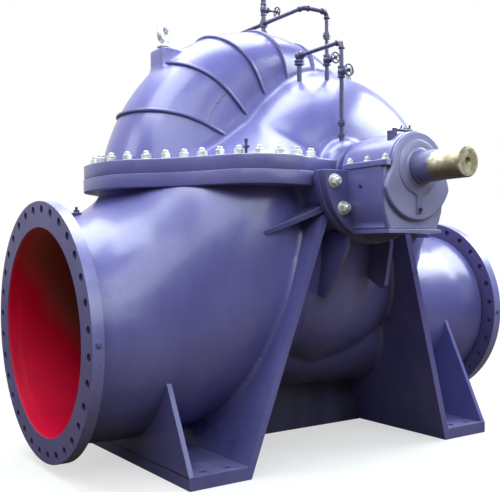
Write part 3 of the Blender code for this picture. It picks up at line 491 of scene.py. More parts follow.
def piece(name, bm, material, body="casing", bevel=0.0, segments=2, angle=35, replaces=()):
    """Put a finished mesh in the scene, riding on its body, with rounded edges if bevel is given."""
    bmesh.ops.recalc_face_normals(bm, faces=bm.faces[:])
    for face in bm.faces:
        face.smooth = True
    for edge in bm.edges:
        if len(edge.link_faces) == 2 and edge.calc_face_angle(0.0) > math.radians(angle):
            edge.smooth = False
    made = bpy.data.objects.new(name, new_mesh(bm, name))
    bpy.context.scene.collection.objects.link(made)
    made.data.materials.append(material)
    if bevel:
        rounding = made.modifiers.new("rounded_edges", "BEVEL")
        rounding.width = bevel
        rounding.segments = segments
        rounding.limit_method = "ANGLE"
        rounding.angle_limit = math.radians(angle)
        rounding.harden_normals = True
    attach(made, body)
    if replaces:
        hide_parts(*replaces)
    return made


def skin(bm, place, around, along, closed=True):
    """Surface from a grid whose columns close into rings. place gives a point for two shares of 0 to 1."""
    made = bmesh.ops.create_grid(bm, x_segments=around, y_segments=along, size=1.0)["verts"]
    for vert in made:
        vert.co = place((vert.co.x + 1) / 2, (vert.co.y + 1) / 2)
    bmesh.ops.remove_doubles(bm, verts=made, dist=0.00005)
    if closed:
        rims = {e for v in made if v.is_valid for e in v.link_edges if e.is_boundary}
        bmesh.ops.holes_fill(bm, edges=list(rims), sides=0)


def eased(table, at):
    """Value at a place, on a smooth curve through the entries of a table."""
    at = min(max(at, table[0][0]), table[-1][0])
    for i, ((low, first), (high, second)) in enumerate(zip(table, table[1:])):
        if at <= high:
            before = table[i - 1] if i else (low - (high - low), first)
            after = table[i + 2] if i + 2 < len(table) else (high + (high - low), second)
            share = (at - low) / (high - low)
            rise_in = (second - before[1]) / (high - before[0]) * (high - low)
            rise_out = (after[1] - first) / (after[0] - low) * (high - low)
            square, cube = share ** 2, share ** 3
            return ((2 * cube - 3 * square + 1) * first + (cube - 2 * square + share) * rise_in
                    + (3 * square - 2 * cube) * second + (cube - square) * rise_out)
    return table[-1][1]


def power_point(turn, exponent, right, up, left, down, upper=None):
    """Point of a superellipse with four half axes, at a share of a turn."""
    angle = math.tau * turn
    power = 2 / (upper if upper and math.sin(angle) > 0 else exponent)
    across = math.copysign(abs(math.cos(angle)) ** power, math.cos(angle))
    upward = math.copysign(abs(math.sin(angle)) ** power, math.sin(angle))
    return across * (right if across > 0 else left), upward * (up if upward > 0 else down)


def span(side, near, far):
    """Lower and upper place between two distances from the middle, on one side of it."""
    return sorted((side * near, side * far))


def turn_to(axis):
    """Rotation that stands the Z axis along another one."""
    return Vector(UP).rotation_difference(Vector(axis)).to_matrix().to_4x4()


def arc(radius, first, last, count, middle_z=SHAFT_Z):
    """Points of an arc about x = 0 from one angle to another, in degrees from +X towards +Z."""
    angles = [math.radians(first + (last - first) * i / count) for i in range(count + 1)]
    return [(radius * math.cos(a), middle_z + radius * math.sin(a)) for a in angles]


def softened(outline, rounds=2):
    """Closed outline with its corners cut again and again into a smooth curve."""
    for _ in range(rounds):
        smoother = []
        for first, second in zip(outline, outline[1:] + outline[:1]):
            smoother.append((first[0] * 0.8 + second[0] * 0.2, first[1] * 0.8 + second[1] * 0.2))
            smoother.append((first[0] * 0.2 + second[0] * 0.8, first[1] * 0.2 + second[1] * 0.8))
        outline = smoother
    return outline


def turned(bm, profile, origin, axis, steps=64):
    """Spin a profile of (radius, distance along the axis) into a closed solid."""
    loop = [bm.verts.new((radius, 0, distance)) for radius, distance in profile]
    edges = [bm.edges.new(pair) for pair in zip(loop, loop[1:])]
    bmesh.ops.spin(bm, geom=loop + edges, cent=(0, 0, 0), axis=UP, angle=math.tau, steps=steps,
                   use_merge=True)
    made = set(loop)
    queue = list(loop)
    while queue:
        vert = queue.pop()
        for edge in vert.link_edges:
            other = edge.other_vert(vert)
            if other not in made:
                made.add(other)
                queue.append(other)
    bmesh.ops.remove_doubles(bm, verts=list(made), dist=0.00002)
    made = [v for v in made if v.is_valid]
    bmesh.ops.transform(bm, matrix=Matrix.Translation(Vector(origin)) @ turn_to(axis), verts=made)


def add_torus(bm, radius, wire, sides, steps):
    """Ring of round wire about the Z axis."""
    place = Matrix.Translation((radius, 0, 0)) @ Matrix.Rotation(math.pi / 2, 4, "X")
    ring = bmesh.ops.create_circle(bm, segments=sides, radius=wire, matrix=place)["verts"]
    edges = list({e for v in ring for e in v.link_edges})
    bmesh.ops.spin(bm, geom=ring + edges, cent=(0, 0, 0), axis=UP, angle=math.tau, steps=steps,
                   use_merge=True)
    bmesh.ops.remove_doubles(bm, verts=bm.verts[:], dist=0.00002)


def rod(bm, first, second, radius, sides=24, end_radius=None):
    """Round bar between two points, or a six-sided one if it has 6 sides."""
    first, second = Vector(first), Vector(second)
    run = second - first
    place = Matrix.Translation((first + second) / 2) @ turn_to(run)
    return bmesh.ops.create_cone(bm, cap_ends=True, segments=sides, radius1=radius,
                                 radius2=radius if end_radius is None else end_radius, depth=run.length,
                                 matrix=place)["verts"]


def block(bm, low, high):
    low, high = Vector(low), Vector(high)
    place = Matrix.Translation((low + high) / 2) @ Matrix.Diagonal((*(high - low), 1))
    bmesh.ops.create_cube(bm, size=1.0, matrix=place)


def plate(bm, outline, low, high, plane="XY"):
    """Flat outline given a thickness from low to high across its plane."""
    order = {"XY": (0, 1, 2), "XZ": (0, 2, 1), "YZ": (1, 2, 0)}[plane]
    verts = []
    for point in outline:
        place = Vector()
        place[order[0]], place[order[1]], place[order[2]] = point[0], point[1], low
        verts.append(bm.verts.new(place))
    face = bm.faces.new(verts)
    raised = bmesh.ops.extrude_face_region(bm, geom=[face])["geom"]
    lift = Vector()
    lift[order[2]] = high - low
    tops = [v for v in raised if isinstance(v, bmesh.types.BMVert)]
    bmesh.ops.translate(bm, vec=lift, verts=tops)
    return verts + tops


def bevelled(bm, edges, offset, segments=1):
    bmesh.ops.bevel(bm, geom=edges, offset=offset, offset_type="OFFSET", segments=segments, profile=0.5,
                    affect="EDGES", material=-1)


def hexagon(bm, middle, axis, radius, height):
    """Six-sided collar with chamfered corners."""
    middle, axis = Vector(middle), Vector(axis).normalized()
    made = rod(bm, middle - axis * height / 2, middle + axis * height / 2, radius, 6)
    rims = [e for e in {e for v in made for e in v.link_edges}
            if abs((e.verts[0].co - e.verts[1].co).normalized().dot(axis)) < 0.5]
    bevelled(bm, rims, radius * 0.08)


def temporary(bm, name="form"):
    bmesh.ops.recalc_face_normals(bm, faces=bm.faces[:])
    made = bpy.data.objects.new(name, new_mesh(bm, name))
    bpy.context.scene.collection.objects.link(made)
    return made


def shaped(made):
    """Mesh of an object with its modifiers carried out, as a new bmesh. The object is removed."""
    bpy.context.view_layer.update()
    graph = bpy.context.evaluated_depsgraph_get()
    mesh = bpy.data.meshes.new_from_object(made.evaluated_get(graph))
    bm = bmesh.new()
    bm.from_mesh(mesh)
    bpy.data.meshes.remove(mesh)
    bpy.data.objects.remove(made)
    return bm


def cast(bm, voxel=0.016, smoothing=12):
    """Fuse overlapping forms into one casting, with a fillet wherever they meet."""
    form = temporary(bm)
    fuse = form.modifiers.new("fuse", "REMESH")
    fuse.mode = "VOXEL"
    fuse.voxel_size = voxel
    fillets = form.modifiers.new("fillets", "SMOOTH")
    fillets.factor = 0.5
    fillets.iterations = smoothing
    return shaped(form)


def cut(bm, cutters):
    """The form with each cutter's bmesh taken out of it."""
    form = temporary(bm)
    tools = [temporary(cutter, "cutter") for cutter in cutters]
    for tool in tools:
        tool.hide_render = True
        step = form.modifiers.new("cut", "BOOLEAN")
        step.operation = "DIFFERENCE"
        step.solver = "EXACT"
        step.object = tool
    result = shaped(form)
    for tool in tools:
        bpy.data.objects.remove(tool)
    return result


def trimmed(bm, height, keep_below):
    """Cut a closed form at a level and close the cut."""
    geom = bm.verts[:] + bm.edges[:] + bm.faces[:]
    bmesh.ops.bisect_plane(bm, geom=geom, plane_co=(0, 0, height), plane_no=UP,
                           clear_outer=keep_below, clear_inner=not keep_below)
    rim = [e for e in bm.edges if e.is_boundary]
    bmesh.ops.holes_fill(bm, edges=rim, sides=0)
    return bm


# Forms of the casing

def spiral_radius(degrees):
    turn = degrees / 180
    if turn <= 1:
        return VOLUTE_START_R + VOLUTE_RISE * turn + VOLUTE_CURVE * turn ** 2
    return VOLUTE_START_R + VOLUTE_RISE + VOLUTE_CURVE + VOLUTE_LOWER_RISE * (turn - 1)


def volute_point(degrees, turn, grow=0.0, shift=0.0):
    """Point of the volute's skin in the radial plane at an angle from +X towards +Z."""
    half_width = VOLUTE_HALF_WIDTH + VOLUTE_WIDENING * degrees / 180 + grow
    outer = spiral_radius(degrees) + grow
    depth = VOLUTE_ROUNDING * half_width
    middle = outer - depth
    across, up = power_point(turn, VOLUTE_FULLNESS, half_width, depth, half_width, middle - VOLUTE_INNER_R)
    angle = math.radians(degrees)
    radial = Vector((math.cos(angle), 0, math.sin(angle)))
    tangent = Vector((-math.sin(angle), 0, math.cos(angle)))
    return Vector((0, -across, SHAFT_Z)) + tangent * shift + radial * (middle + up)


def add_volute(bm, first=VOLUTE_FIRST, last=VOLUTE_LAST, grow=0.0):
    skin(bm, lambda u, v: volute_point(first + (last - first) * v, u, grow), 72, 120)


def chamber_point(around, along):
    """Point of the suction chambers' skin, closed to a small round at both poles."""
    pole = math.cos(math.pi * (0.015 + 0.97 * along))
    scale = max(1 - abs(pole) ** CHAMBER_FULLNESS, 0.0) ** (1 / CHAMBER_FULLNESS)
    degrees = -90 + 360 * around
    radius = eased(CHAMBER_RADII, degrees) * max(scale, 0.02)
    half_width = CHAMBER_POLE_Y + (eased(CHAMBER_HALF_WIDTHS, degrees) - CHAMBER_POLE_Y) * scale
    angle = math.radians(degrees)
    return Vector((radius * math.cos(angle), -half_width * pole, SHAFT_Z + radius * math.sin(angle)))


def add_chambers(bm):
    """Suction chamber on both sides of the volute, wider and larger towards the duct."""
    skin(bm, chamber_point, 120, 72)


def duct_point(x, turn, shrink=0.0):
    half_width, low, middle, high, exponent = [eased([(s[0], s[k]) for s in DUCT_STATIONS], x)
                                               for k in range(1, 6)]
    across, up = power_point(turn, 2.0, half_width - shrink, high - middle - shrink,
                             half_width - shrink, middle - low - shrink, exponent)
    return Vector((x, -across, middle + up))


def add_duct(bm, first=DUCT_X[0], last=DUCT_X[1], shrink=0.0):
    skin(bm, lambda u, v: duct_point(first + (last - first) * v, u, shrink), 96, 60)


def branch_point(x, turn, radius, flare):
    """Point of the discharge branch, which rises a little towards the volute and flares at its flange."""
    near = min(max((x - FLARE_START_X) / FLARE_LENGTH, 0.0), 1.0)
    radius += flare * near * near * (3 - 2 * near)
    middle = PIPE_Z + BRANCH_RISE * (DISCHARGE_FACE_X - x)
    angle = math.tau * turn
    return Vector((x, radius * math.cos(angle), middle + radius * math.sin(angle)))


def add_branch(bm, first, last, radius, flare=0.0):
    skin(bm, lambda u, v: branch_point(first + (last - first) * v, u, radius, flare), 96, 48)


def split_outline(grow=0.0):
    """Plan of the split flange: a rounded tip at each end and a lobe over each chamber."""
    left = [(-x - grow, -y - (grow if y else 0)) for x, y in SPLIT_QUARTER]
    right = [((x + grow) * SPLIT_RIGHT_SCALE, -y - (grow if y else 0)) for x, y in SPLIT_QUARTER[-2::-1]]
    near = left + right
    return near + [(x, -y) for x, y in near[-2:0:-1]]


def skirt_point(outline, around, upward):
    """Point of the skirt that rises from the split flange and narrows under the domes."""
    low, high = SKIRT_LEVELS[0][0], SKIRT_LEVELS[-1][0]
    z = low + (high - low) * upward
    scale = eased(SKIRT_LEVELS, z)
    step = around * len(outline)
    at = int(step) % len(outline)
    share = step - int(step)
    first, second = outline[at], outline[(at + 1) % len(outline)]
    return Vector(((first[0] * (1 - share) + second[0] * share) * scale,
                   (first[1] * (1 - share) + second[1] * share) * scale, z))


def rib_point(angle, around, across):
    """Point of a rib's skin on the volute at an angle, leaning forward on the crest."""
    shift, grow = RIB_PROFILE[round(across * (len(RIB_PROFILE) - 1))]
    lean = RIB_LEAN * max(math.sin(math.tau * around), 0.0) ** 2
    return volute_point(angle + math.degrees(lean / spiral_radius(angle)), around, grow, shift)


def leaning_web(bm, side, ends, thick):
    """Web across the pump on one side of its middle, between two ends given as (x, half width, z)."""
    foot, top = ends
    for vert in bmesh.ops.create_cube(bm, size=1.0)["verts"]:
        x, half_width, z = top if vert.co.z > 0 else foot
        vert.co = Vector((side * x + math.copysign(thick / 2, vert.co.x),
                          math.copysign(half_width, vert.co.y), z))


# Casings, flanges and feet

def lower_casing():
    """Volute, chambers, duct and branch fused into one casting, with both of its pipes opened."""
    bm = bmesh.new()
    add_volute(bm)
    add_chambers(bm)
    add_duct(bm)
    add_branch(bm, *BRANCH_X, BRANCH_R, BRANCH_FLARE)
    for side in (-1, 1):
        rod(bm, (0, side * NECK_START_Y, SHAFT_Z), (0, side * (BRACKET_FACE_Y - 0.01), SHAFT_Z),
            NECK_RADII[0], 64, NECK_RADII[1])
    for side in (-1, 1):
        leaning_web(bm, side, WEB_ROOT, WEB_ROOT_THICK)
    bm = trimmed(cast(bm), SHAFT_Z - 0.01, True)
    suction = bmesh.new()
    add_duct(suction, *DUCT_BORE_X, CASTING_WALL)
    discharge = bmesh.new()
    add_branch(discharge, *BRANCH_BORE_X, DISCHARGE_BORE_R)
    piece("lower_casting", cut(bm, [suction, discharge]), PAINT,
          replaces=("lower_casing", "suction_duct", "discharge_branch"))


def upper_casing():
    """Volute, domes and skirt fused, then the stuffing boxes and lifting lugs fused on."""
    bm = bmesh.new()
    add_volute(bm)
    add_chambers(bm)
    outline = split_outline(-SKIRT_INSET)
    skin(bm, lambda u, v: skirt_point(outline, u, v), 104, 20)
    bm = cast(bm, smoothing=34)
    stuffing_box = [(0.0, 0.60), (0.25, 0.60), (0.215, 0.72), (0.205, 0.81), (0.165, 0.86), (0.0, 0.86)]
    for side in (-1, 1):
        turned(bm, stuffing_box, (0, 0, SHAFT_Z), (0, side, 0))
    for low_x, high_x, low_z, high_z in LUGS:
        block(bm, (low_x, -LUG_HALF_Y, low_z), (high_x, LUG_HALF_Y, high_z))
    bm = trimmed(cast(bm, smoothing=7), SHAFT_Z + 0.01, False)
    piece("upper_casting", bm, PAINT, replaces=("upper_casing",))


def split_flanges():
    """Both halves of the split flange, with a slight step between them as cast."""
    for name, joint, outer, grow in (
            ("lower_split_flange", SHAFT_Z - JOINT_GAP, SHAFT_Z - SPLIT_HALF_THICK, 0.0),
            ("upper_split_flange", SHAFT_Z + JOINT_GAP, SHAFT_Z + SPLIT_HALF_THICK, -0.003)):
        bm = bmesh.new()
        plate(bm, softened(split_outline(grow)), joint, outer)
        for level, offset, segments in ((outer, 0.007, 3), (joint, 0.0022, 2)):
            rim = [e for e in bm.edges if all(abs(v.co.z - level) < 1e-5 for v in e.verts)]
            bevelled(bm, rim, offset, segments)
        piece(name, bm, FLANGE_PAINT, angle=50)


def volute_ribs():
    """Thin raised ribs round the volute, rounded along their crests."""
    bm = bmesh.new()
    for i in range(RIB_COUNT):
        angle = RIB_FIRST + RIB_STEP * i
        skin(bm, lambda u, v: rib_point(angle, u, v), 96, len(RIB_PROFILE) - 1)
    # The ribs take the darker paint: painted shade.
    piece("volute_ribs", bm, SHADED_RIB_PAINT, angle=60)


def pipe_core(side):
    """What the webs of a foot leave clear: the inside of the duct or branch, and a little of its wall."""
    bm = bmesh.new()
    if side < 0:
        add_duct(bm, *DUCT_CORE_X, DUCT_CORE_SHRINK)
    else:
        add_branch(bm, *BRANCH_CORE_X, BRANCH_CORE_R)
    return bm


def feet():
    """Foot plates with their anchor holes, the two webs on each, and the web between the feet."""
    for side, name in ((-1, "suction"), (1, "discharge")):
        bm = bmesh.new()
        low_x, high_x = span(side, FOOT_INNER_X, FOOT_OUTER_X)
        block(bm, (low_x, -FOOT_HALF_Y, 0), (high_x, FOOT_HALF_Y, FOOT_PLATE_THICK))
        holes = []
        for end in (-1, 1):
            for step in (-1, 1):
                hole = bmesh.new()
                x, y = side * FOOT_MIDDLE_X + step * ANCHOR_HOLE_SPREAD, end * ANCHOR_HOLE_Y
                rod(hole, (x, y, -0.1), (x, y, 0.2), ANCHOR_HOLE_R, 32)
                holes.append(hole)
        piece(name + "_foot_plate", cut(bm, holes), FOOT_PAINT, bevel=0.004, replaces=(name + "_foot",))
        for web, ends, thick, bevel in (("_inner_web", INNER_WEB, INNER_WEB_THICK, 0.007),
                                        ("_outer_web", OUTER_WEB, OUTER_WEB_THICK, 0.005)):
            bm = bmesh.new()
            leaning_web(bm, side, ends, thick)
            piece(name + web, cut(bm, [pipe_core(side)]), PAINT, bevel=bevel, segments=3)
    bm = bmesh.new()
    outline = [(-FOOT_INNER_X, 0), (FOOT_INNER_X, 0), (CENTRE_WEB_TOP_X, CENTRE_WEB_TOP_Z),
               (-CENTRE_WEB_TOP_X, CENTRE_WEB_TOP_Z)]
    plate(bm, outline, -CENTRE_WEB_HALF_THICK, CENTRE_WEB_HALF_THICK, "XZ")
    # The web between the feet has the very dark paint: painted shade.
    piece("centre_web_plate", bm, SHADED_WEB_PAINT, bevel=0.006, replaces=("centre_web",))


def pipe_flange(name, face_x, back_x, radius, bore, pitch, count, hole_r):
    """Round flange with its bolt holes. Its face has a darker paint (painted shade) and its rim a paler one
    (painted highlight).
    """
    bm = bmesh.new()
    side = 1 if back_x > face_x else -1
    thick = abs(back_x - face_x)
    turned(bm, [(bore, 0), (radius, 0), (radius, thick), (bore, thick), (bore, 0)], (face_x, 0, PIPE_Z),
           (side, 0, 0), 160)
    drill = bmesh.new()
    for i in range(count):
        angle = math.tau * (i + 0.5) / count
        y, z = pitch * math.cos(angle), PIPE_Z + pitch * math.sin(angle)
        rod(drill, (face_x - 0.1, y, z), (face_x + 0.1, y, z), hole_r, 24)
    made = piece(name + "_ring", cut(bm, [drill]), SHADED_RING_PAINT, bevel=0.0025, replaces=(name,))
    # Rim faces take the paler paint: painted highlight.
    made.data.materials.append(RIM_HIGHLIGHT_PAINT)
    for polygon in made.data.polygons:
        out = Vector((0, polygon.center.y, polygon.center.z - PIPE_Z))
        if out.length > radius - 0.003 and abs(polygon.normal.x) < 0.5:
            polygon.material_index = 1


def suction_lining():
    """Red paint on the inside of the suction duct, and the volute's nose that shows inside it."""
    bm = bmesh.new()

    def lining(u, v):
        x = SUCTION_FACE_X + LINING_START + LINING_LENGTH * v
        if x < SUCTION_BACK_X:
            angle = math.tau * u
            return Vector((x, -LINING_R * math.cos(angle), PIPE_Z + LINING_R * math.sin(angle)))
        return duct_point(x, u, LINING_INSET)
    skin(bm, lining, 96, 60, closed=False)
    rim = [e for e in bm.edges if e.is_boundary and e.verts[0].co.x > -1.0]
    bmesh.ops.holes_fill(bm, edges=rim, sides=0)
    made = piece("suction_lining", bm, RED)
    wall = made.modifiers.new("paint_film", "SOLIDIFY")
    wall.thickness = 0.0015
    wall.offset = 1.0
    bm = bmesh.new()
    add_volute(bm, *NOSE_ANGLES, -NOSE_INSET)
    piece("volute_nose", bm, RED)


# Bearing ends

def brackets():
    """Half flanges under the split that carry the bearing housings, and the ribs below them."""
    for side, name in ENDS:
        bm = bmesh.new()
        low_y, high_y = span(side, BRACKET_FACE_Y, BRACKET_FACE_Y - BRACKET_THICK)
        plate(bm, arc(BRACKET_R, 180, 360, 56), low_y, high_y, "XZ")
        piece(name + "_bracket_flange", bm, FLANGE_PAINT, bevel=0.005, segments=3)
        bm = bmesh.new()
        for end in (-1, 1):
            outline = [(end * x, z) for x, z in SIDE_RIB]
            for vert in plate(bm, outline, *span(side, *SIDE_RIB_Y), "XZ"):
                if abs(vert.co.x) > 0.6 and abs(vert.co.y) > SIDE_RIB_TIP_Y:
                    vert.co.y = side * SIDE_RIB_TIP_Y
        for x, outline in BRACKET_RIBS:
            plate(bm, [(side * y, z) for y, z in outline], x - BRACKET_RIB_HALF_THICK,
                  x + BRACKET_RIB_HALF_THICK, "YZ")
        piece(name + "_bracket_ribs", bm, SHADED_RIB_PAINT, bevel=0.005, segments=3)


def bearing_housing(side, name):
    """Lower half of a housing: its round plate, the barrel, and the base with its lip."""
    bm = bmesh.new()
    low_y, high_y = span(side, HOUSING_BACK_Y, HOUSING_BACK_Y + BRACKET_THICK)
    plate(bm, arc(HOUSING_PLATE_R, 180, 360, 48), low_y, high_y, "XZ")
    piece(name + "_housing_plate", bm, PLATE_PAINT, bevel=0.005, segments=3,
          replaces=(name + "_bearing_housing",))
    low_y, high_y = span(side, HOUSING_BACK_Y + 0.002, HOUSING_END_Y)
    half = [(0.187, 1.337), (0.192, 1.362), (0.205, 1.395), (0.221, 1.44), (0.231, 1.50), (0.235, 1.56),
            (0.235, SHAFT_Z + 0.028)]
    bm = bmesh.new()
    plate(bm, half + [(-x, z) for x, z in half[::-1]], low_y, high_y, "XZ")
    piece(name + "_housing_barrel", bm, HOUSING_PAINT, bevel=0.040, segments=8)
    bm = bmesh.new()
    block(bm, (-0.192, low_y, 1.330), (0.192, high_y, 1.352))
    piece(name + "_housing_base", bm, HOUSING_PAINT, bevel=0.004, segments=3)
    bm = bmesh.new()
    low_y, high_y = span(side, COVER_START_Y, HOUSING_END_Y + 0.022)
    block(bm, (-0.187, low_y, 1.330), (0.187, high_y, 1.350))
    # The lip takes the lighter paint: painted light.
    piece(name + "_base_lip", bm, LIT_END_PAINT, bevel=0.003, segments=3)


def bearing_cap(side, name):
    """Upper half of a housing: a ledge with corner pads, and a turned crown."""
    near = [(0.241, HOUSING_BACK_Y), (0.241, 1.306), (0.228, 1.3245), (0.198, 1.3265), (0.19, 1.29)]
    outline = [(x, side * y) for x, y in near] + [(-x, side * y) for x, y in near[::-1]]
    bm = bmesh.new()
    plate(bm, outline, SHAFT_Z + JOINT_GAP, SHAFT_Z + LEDGE_THICK, "XY")
    piece(name + "_cap_ledge", bm, HOUSING_PAINT, bevel=0.007, segments=4, replaces=(name + "_bearing_cap",))
    bm = bmesh.new()
    crown = [(0.0, 0.876), (0.120, 0.876), (0.150, 0.884), (0.172, 0.902), (0.186, 0.930), (0.193, 0.97),
             (0.195, 1.02), (0.195, HOUSING_END_Y - 0.004), (CAP_R, HOUSING_END_Y), (0.0, HOUSING_END_Y)]
    turned(bm, crown, (0, 0, SHAFT_Z), (0, side, 0), 128)
    piece(name + "_cap_crown", trimmed(bm, SHAFT_Z + 0.001, False), HOUSING_PAINT)


def bearing_cover(side, name):
    """End cover with shoulders, its raised boss, and a drain in the shape of a Y with its plug."""
    start = side * COVER_START_Y
    shoulder = [(0.2415, 1.569), (0.2335, 1.598), (0.221, 1.628), (0.208, 1.654), (0.1975, 1.676)]
    outline = (arc(CAP_R, 4, 176, 44) + [(-x, z) for x, z in shoulder[::-1]]
               + arc(COVER_LOW_R, 203, 337, 64, COVER_LOW_Z) + shoulder)
    bm = bmesh.new()
    plate(bm, softened(outline), *span(side, COVER_START_Y, COVER_START_Y + COVER_THICK), "XZ")
    piece(name + "_cover_plate", bm, HOUSING_PAINT, bevel=0.020, segments=6,
          replaces=(name + "_bearing_cover",))
    bm = bmesh.new()
    turned(bm, [(0.0, 0.02), (0.0, 0.046), (0.096, 0.046), (0.101, 0.043), (0.104, 0.039), (0.138, 0.039),
                (0.145, 0.036), (0.149, 0.029), (0.149, 0.02), (0.0, 0.02)],
           (0, start, SHAFT_Z), (0, side, 0), 128)
    # The boss and the drain below take the lighter paint: painted light.
    piece(name + "_cover_boss", bm, LIT_END_PAINT, bevel=0.0015)
    right = [(0.020, -0.246), (0.020, -0.152), (0.060, -0.128), (0.052, -0.112)]
    drain = [(x, SHAFT_Z + z) for x, z in right] + [(-x, SHAFT_Z + z) for x, z in right[::-1]]
    bm = bmesh.new()
    plate(bm, drain, *span(side, COVER_START_Y + 0.02, COVER_START_Y + 0.0395), "XZ")
    piece(name + "_cover_drain", bm, LIT_END_PAINT, bevel=0.005, segments=3)
    bm = bmesh.new()
    plug_z = SHAFT_Z - 0.226
    rod(bm, (0, start + side * 0.03, plug_z), (0, start + side * 0.048, plug_z), 0.014, 6)
    piece(name + "_cover_plug", bm, PIPE_PAINT, bevel=0.0015)


def grease_fitting(side, name):
    """Small bracket on a cap, with a feed pipe across it and the knobs of its fittings."""
    y = side * GREASE_Y
    bm = bmesh.new()
    plate(bm, [(-0.132, SHAFT_Z + 0.10), (-0.104, SHAFT_Z + 0.10), (-0.084, SHAFT_Z + 0.196),
               (-0.134, SHAFT_Z + 0.196)], y - 0.014, y + 0.014, "XZ")
    rod(bm, (-0.092, y, SHAFT_Z + 0.19), (-0.092, y, SHAFT_Z + 0.212), 0.013, 24)
    rod(bm, (-0.100, y, SHAFT_Z + 0.203), (0.028, y, SHAFT_Z + 0.205), 0.0085, 20)
    rod(bm, (0.028, y, SHAFT_Z + 0.205), (0.105, y, SHAFT_Z + 0.199), 0.0042, 12)
    for x, height in ((-0.045, 0.024), (-0.020, 0.015), (0.0, 0.013), (0.018, 0.030)):
        rod(bm, (x, y, SHAFT_Z + 0.20), (x + 0.003, y, SHAFT_Z + 0.205 + height), 0.0055, 12)
    rod(bm, (0.028, y, SHAFT_Z + 0.17), (0.028, y, SHAFT_Z + 0.212), 0.010, 20)
    piece(name + "_grease_fitting", bm, PIPE_PAINT, bevel=0.0012, replaces=(name + "_grease_cup",))


def bearing_ends():
    for side, name in ENDS:
        bearing_housing(side, name)
        bearing_cap(side, name)
        bearing_cover(side, name)
        grease_fitting(side, name)


def shaft():
    """Turned shaft with its chamfered end, centre hole and keyway, and the thrower ring beside the cover."""
    bm = bmesh.new()
    turned(bm, [(0.0, -1.640), (0.010, -1.640), (0.021, -1.66), (0.074, -1.66), (0.079, -1.655),
                (0.080, -1.46), (0.083, -1.452), (0.084, -1.372), (0.091, -1.368), (0.091, -1.30),
                (0.085, -1.29), (0.085, 1.27), (0.0, 1.27)], (0, 0, SHAFT_Z), (0, 1, 0), 128)
    keyway = bmesh.new()
    block(keyway, (-KEYWAY_HALF_WIDTH, -1.71, KEYWAY_Z[0]), (KEYWAY_HALF_WIDTH, KEYWAY_END_Y, KEYWAY_Z[1]))
    keyway_end = bmesh.new()
    rod(keyway_end, (0, KEYWAY_END_Y, KEYWAY_Z[0]), (0, KEYWAY_END_Y, KEYWAY_Z[1]), KEYWAY_HALF_WIDTH, 24)
    piece("turned_shaft", cut(bm, [keyway, keyway_end]), STEEL, body="rotor", bevel=0.0012,
          replaces=("pump_shaft",))


# Nuts, plugs and lifting eyes

def nut_pattern(across, height, stud, stud_height):
    """Mesh of a nut on its washer with a rounded stud end, standing on the origin."""
    bm = bmesh.new()
    washer_r = across * 1.35 / 2
    corner_r = across / 2 * 1.1547
    top = 0.004 + height
    turned(bm, [(0.0, 0.0), (washer_r * 1.12, 0.0), (washer_r * 1.12, 0.003), (washer_r * 1.05, 0.0045),
                (0.0, 0.0045)], (0, 0, 0), UP, 20)
    nut = bmesh.ops.create_cone(bm, cap_ends=True, segments=6, radius1=corner_r, radius2=corner_r,
                                depth=height, matrix=Matrix.Translation((0, 0, 0.004 + height / 2)))["verts"]
    rims = [e for e in {e for v in nut for e in v.link_edges}
            if abs(e.verts[0].co.z - e.verts[1].co.z) < 1e-6]
    bevelled(bm, rims, across * 0.045)
    turned(bm, [(0.0, top - 0.004), (stud, top - 0.004), (stud, top + stud_height * 0.7),
                (stud * 0.75, top + stud_height), (0.0, top + stud_height)], (0, 0, 0), UP, 16)
    bmesh.ops.recalc_face_normals(bm, faces=bm.faces[:])
    return new_mesh(bm, "nut_pattern")


def stamp(bm, pattern, at, axis, twist):
    """Copy a pattern mesh to a place, standing along an axis."""
    before = len(bm.verts)
    bm.from_mesh(pattern)
    bm.verts.ensure_lookup_table()
    place = Matrix.Translation(Vector(at)) @ turn_to(axis) @ Matrix.Rotation(twist, 4, "Z")
    bmesh.ops.transform(bm, matrix=place, verts=bm.verts[before:])


def along_outline(outline, spacing, start):
    """Evenly spaced places along a closed outline."""
    lengths = [math.dist(a, b) for a, b in zip(outline, outline[1:] + outline[:1])]
    total = sum(lengths)
    count = round(total / spacing)
    places = []
    for i in range(count):
        want = (start + total * i / count) % total
        for k, length in enumerate(lengths):
            if want <= length:
                a, b = outline[k], outline[(k + 1) % len(outline)]
                share = want / length
                places.append((a[0] + (b[0] - a[0]) * share, a[1] + (b[1] - a[1]) * share))
                break
            want -= length
    return places


def fasteners():
    """Nuts of the split flange, of the bearing brackets and of the cap ledges, each turned by chance."""
    chance = random.Random(7)
    cap_nut = nut_pattern(0.050, 0.029, 0.018, 0.018)
    bracket_nut = nut_pattern(0.052, 0.030, 0.018, 0.014)
    ledge_nut = nut_pattern(0.030, 0.018, 0.010, 0.008)
    bm = bmesh.new()
    for x, y in along_outline(softened(split_outline(-SPLIT_NUT_INSET)), SPLIT_NUT_SPACING, -0.03):
        under_housing = abs(x) < 0.28 and abs(y) > 0.7
        if not under_housing:
            stamp(bm, cap_nut, (x, y, SHAFT_Z + SPLIT_HALF_THICK), UP, chance.uniform(0, 1))
    piece("split_flange_nuts", bm, ZINC, angle=30)
    bm = bmesh.new()
    for side in (-1, 1):
        face_y = side * (BRACKET_FACE_Y + BRACKET_THICK + JOINT_GAP)
        for degrees in HOUSING_NUT_ANGLES:
            angle = math.radians(degrees)
            x, z = HOUSING_NUT_PITCH_R * math.cos(angle), SHAFT_Z + HOUSING_NUT_PITCH_R * math.sin(angle)
            stamp(bm, bracket_nut, (x, face_y, z), (0, side, 0), chance.uniform(0, 1))
        for x in (-LEDGE_NUT_X, LEDGE_NUT_X):
            for y in LEDGE_NUT_Y:
                stamp(bm, ledge_nut, (x, side * y, SHAFT_Z + LEDGE_THICK), UP, chance.uniform(0, 1))
    piece("bearing_nuts", bm, ZINC, angle=30)


